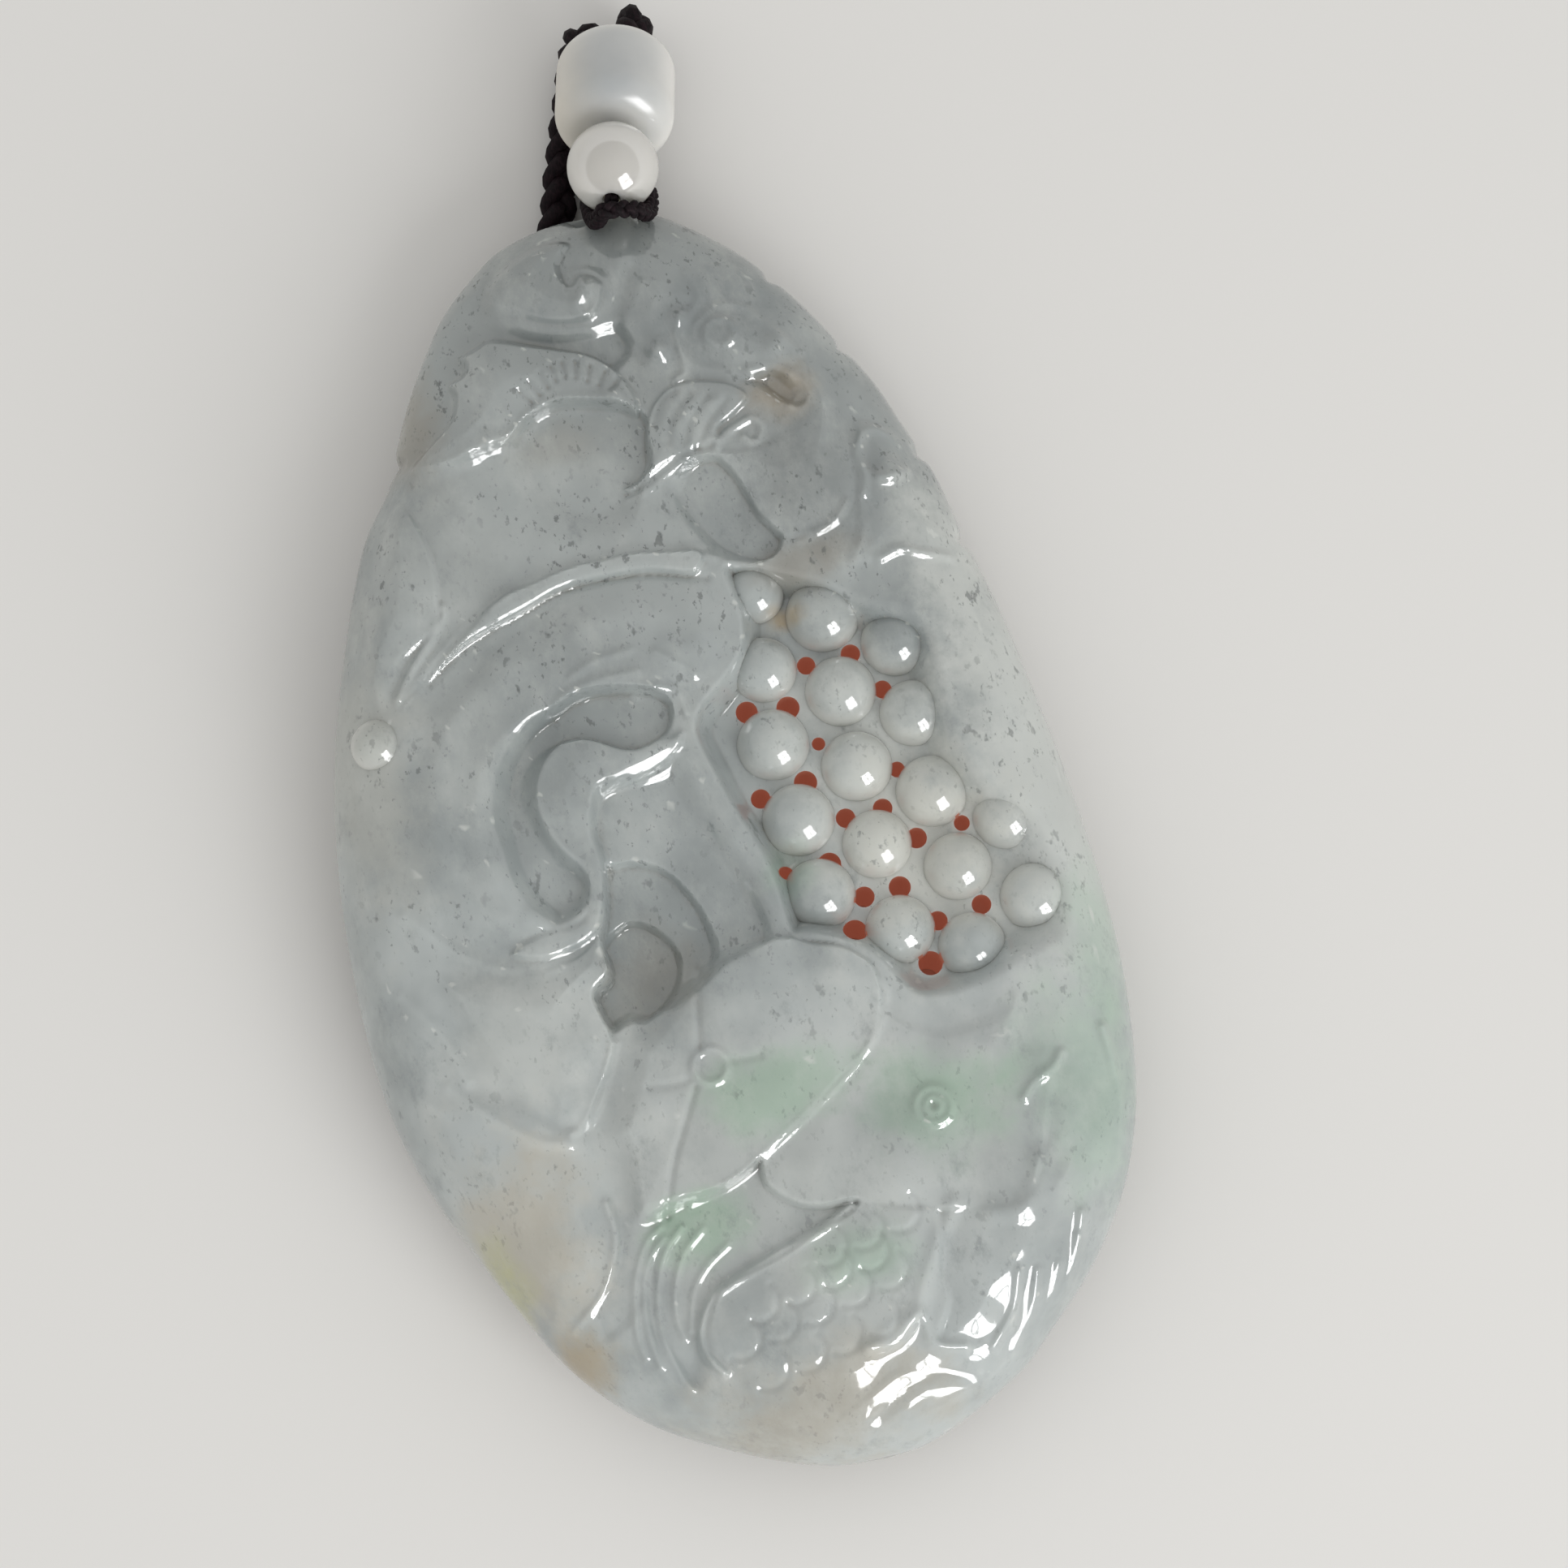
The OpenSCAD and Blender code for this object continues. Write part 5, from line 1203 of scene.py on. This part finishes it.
def set_light():
    right, up, towards = camera_axes()
    way = (right * WINDOW_WAY[0] + up * WINDOW_WAY[1] + towards * WINDOW_WAY[2]).normalized()
    across = Vector((0, 0, 1)).cross(way).normalized()
    rise = way.cross(across)
    axes = (across, rise, way)
    target = Vector(CAMERA_TARGET)
    for i in (-0.5, 0.5):
        for j in (-0.5, 0.5):
            middle = target + way * WINDOW_DISTANCE + across * i * PANE_STEP[0] + rise * j * PANE_STEP[1]
            pane = add_light("pane", middle, axes, PANE, PANE_POWER)
            pane.visible_diffuse = False
    lamp = add_light("lamp", target + way * LAMP_DISTANCE, axes, (LAMP_SIZE, LAMP_SIZE), LAMP_POWER)
    lamp.visible_glossy = False
    world = bpy.data.worlds.new("room")
    world.use_nodes = True
    background = world.node_tree.nodes["Background"]
    fill(world.node_tree, background, {"Color": ROOM_COLOUR, "Strength": ROOM_LIGHT})
    bpy.context.scene.world = world
    bpy.context.scene.view_settings.view_transform = "Standard"


# The floor lies a hair under the pendant's flat back, so that the two don't show through each other
FLOOR_HALF = 1500
FLOOR_GAP = 0.02


def lay_floor():
    low, high = -FLOOR_HALF, FLOOR_HALF
    corners = [(low, low), (high, low), (high, high), (low, high)]
    floor = new_object("floor", [(x, y, -FLOOR_GAP) for x, y in corners], [(0, 1, 2, 3)])
    floor.data.materials.append(plain("pale_floor", FLOOR_PAINT))


def dress(obj, materials, node):
    obj.data.materials.clear()
    for material in materials:
        obj.data.materials.append(material)
    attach(obj, "root")
    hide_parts(node)


set_camera()
set_light()
lay_floor()

cord, cord_line, cord_length = plait("braided_cord", CORD_ROUTE, False, *CORD_PLAIT)
loop, _, _ = plait("tied_loop", LOOP_ROUTE, True, *LOOP_PLAIT)
thread_route = on_bead_line([(0, 0, height) for height in THREAD_HEIGHTS])
beads_thread, _, _ = plait("twisted_thread", thread_route, False, *THREAD_PLAIT)
round_bead = lathe("milky_round_bead", round_bead_section())
barrel_bead = lathe("frosted_barrel_bead", barrel_section())
pendant = build_pendant()

dark_thread = thread("dark_thread")
stone = [jade("cloudy_jade", *CLOUDY_JADE), jade("milky_jade", *MILKY_JADE), plain("glowing_hole_wall", HOLE_WALL_GLOW)]
dress(pendant, stone, "pendant")
mark_faces(pendant.data)
dress(round_bead, [milky("milky_white", *ROUND_BEAD)], "round_bead")
dress(barrel_bead, [milky("frosted_white", *BARREL_BEAD)], "barrel_bead")
dress(beads_thread, [dark_thread], "bead_thread")
dress(loop, [dark_thread], "hanging_loop")
dress(cord, [dark_thread], "carrying_cord")
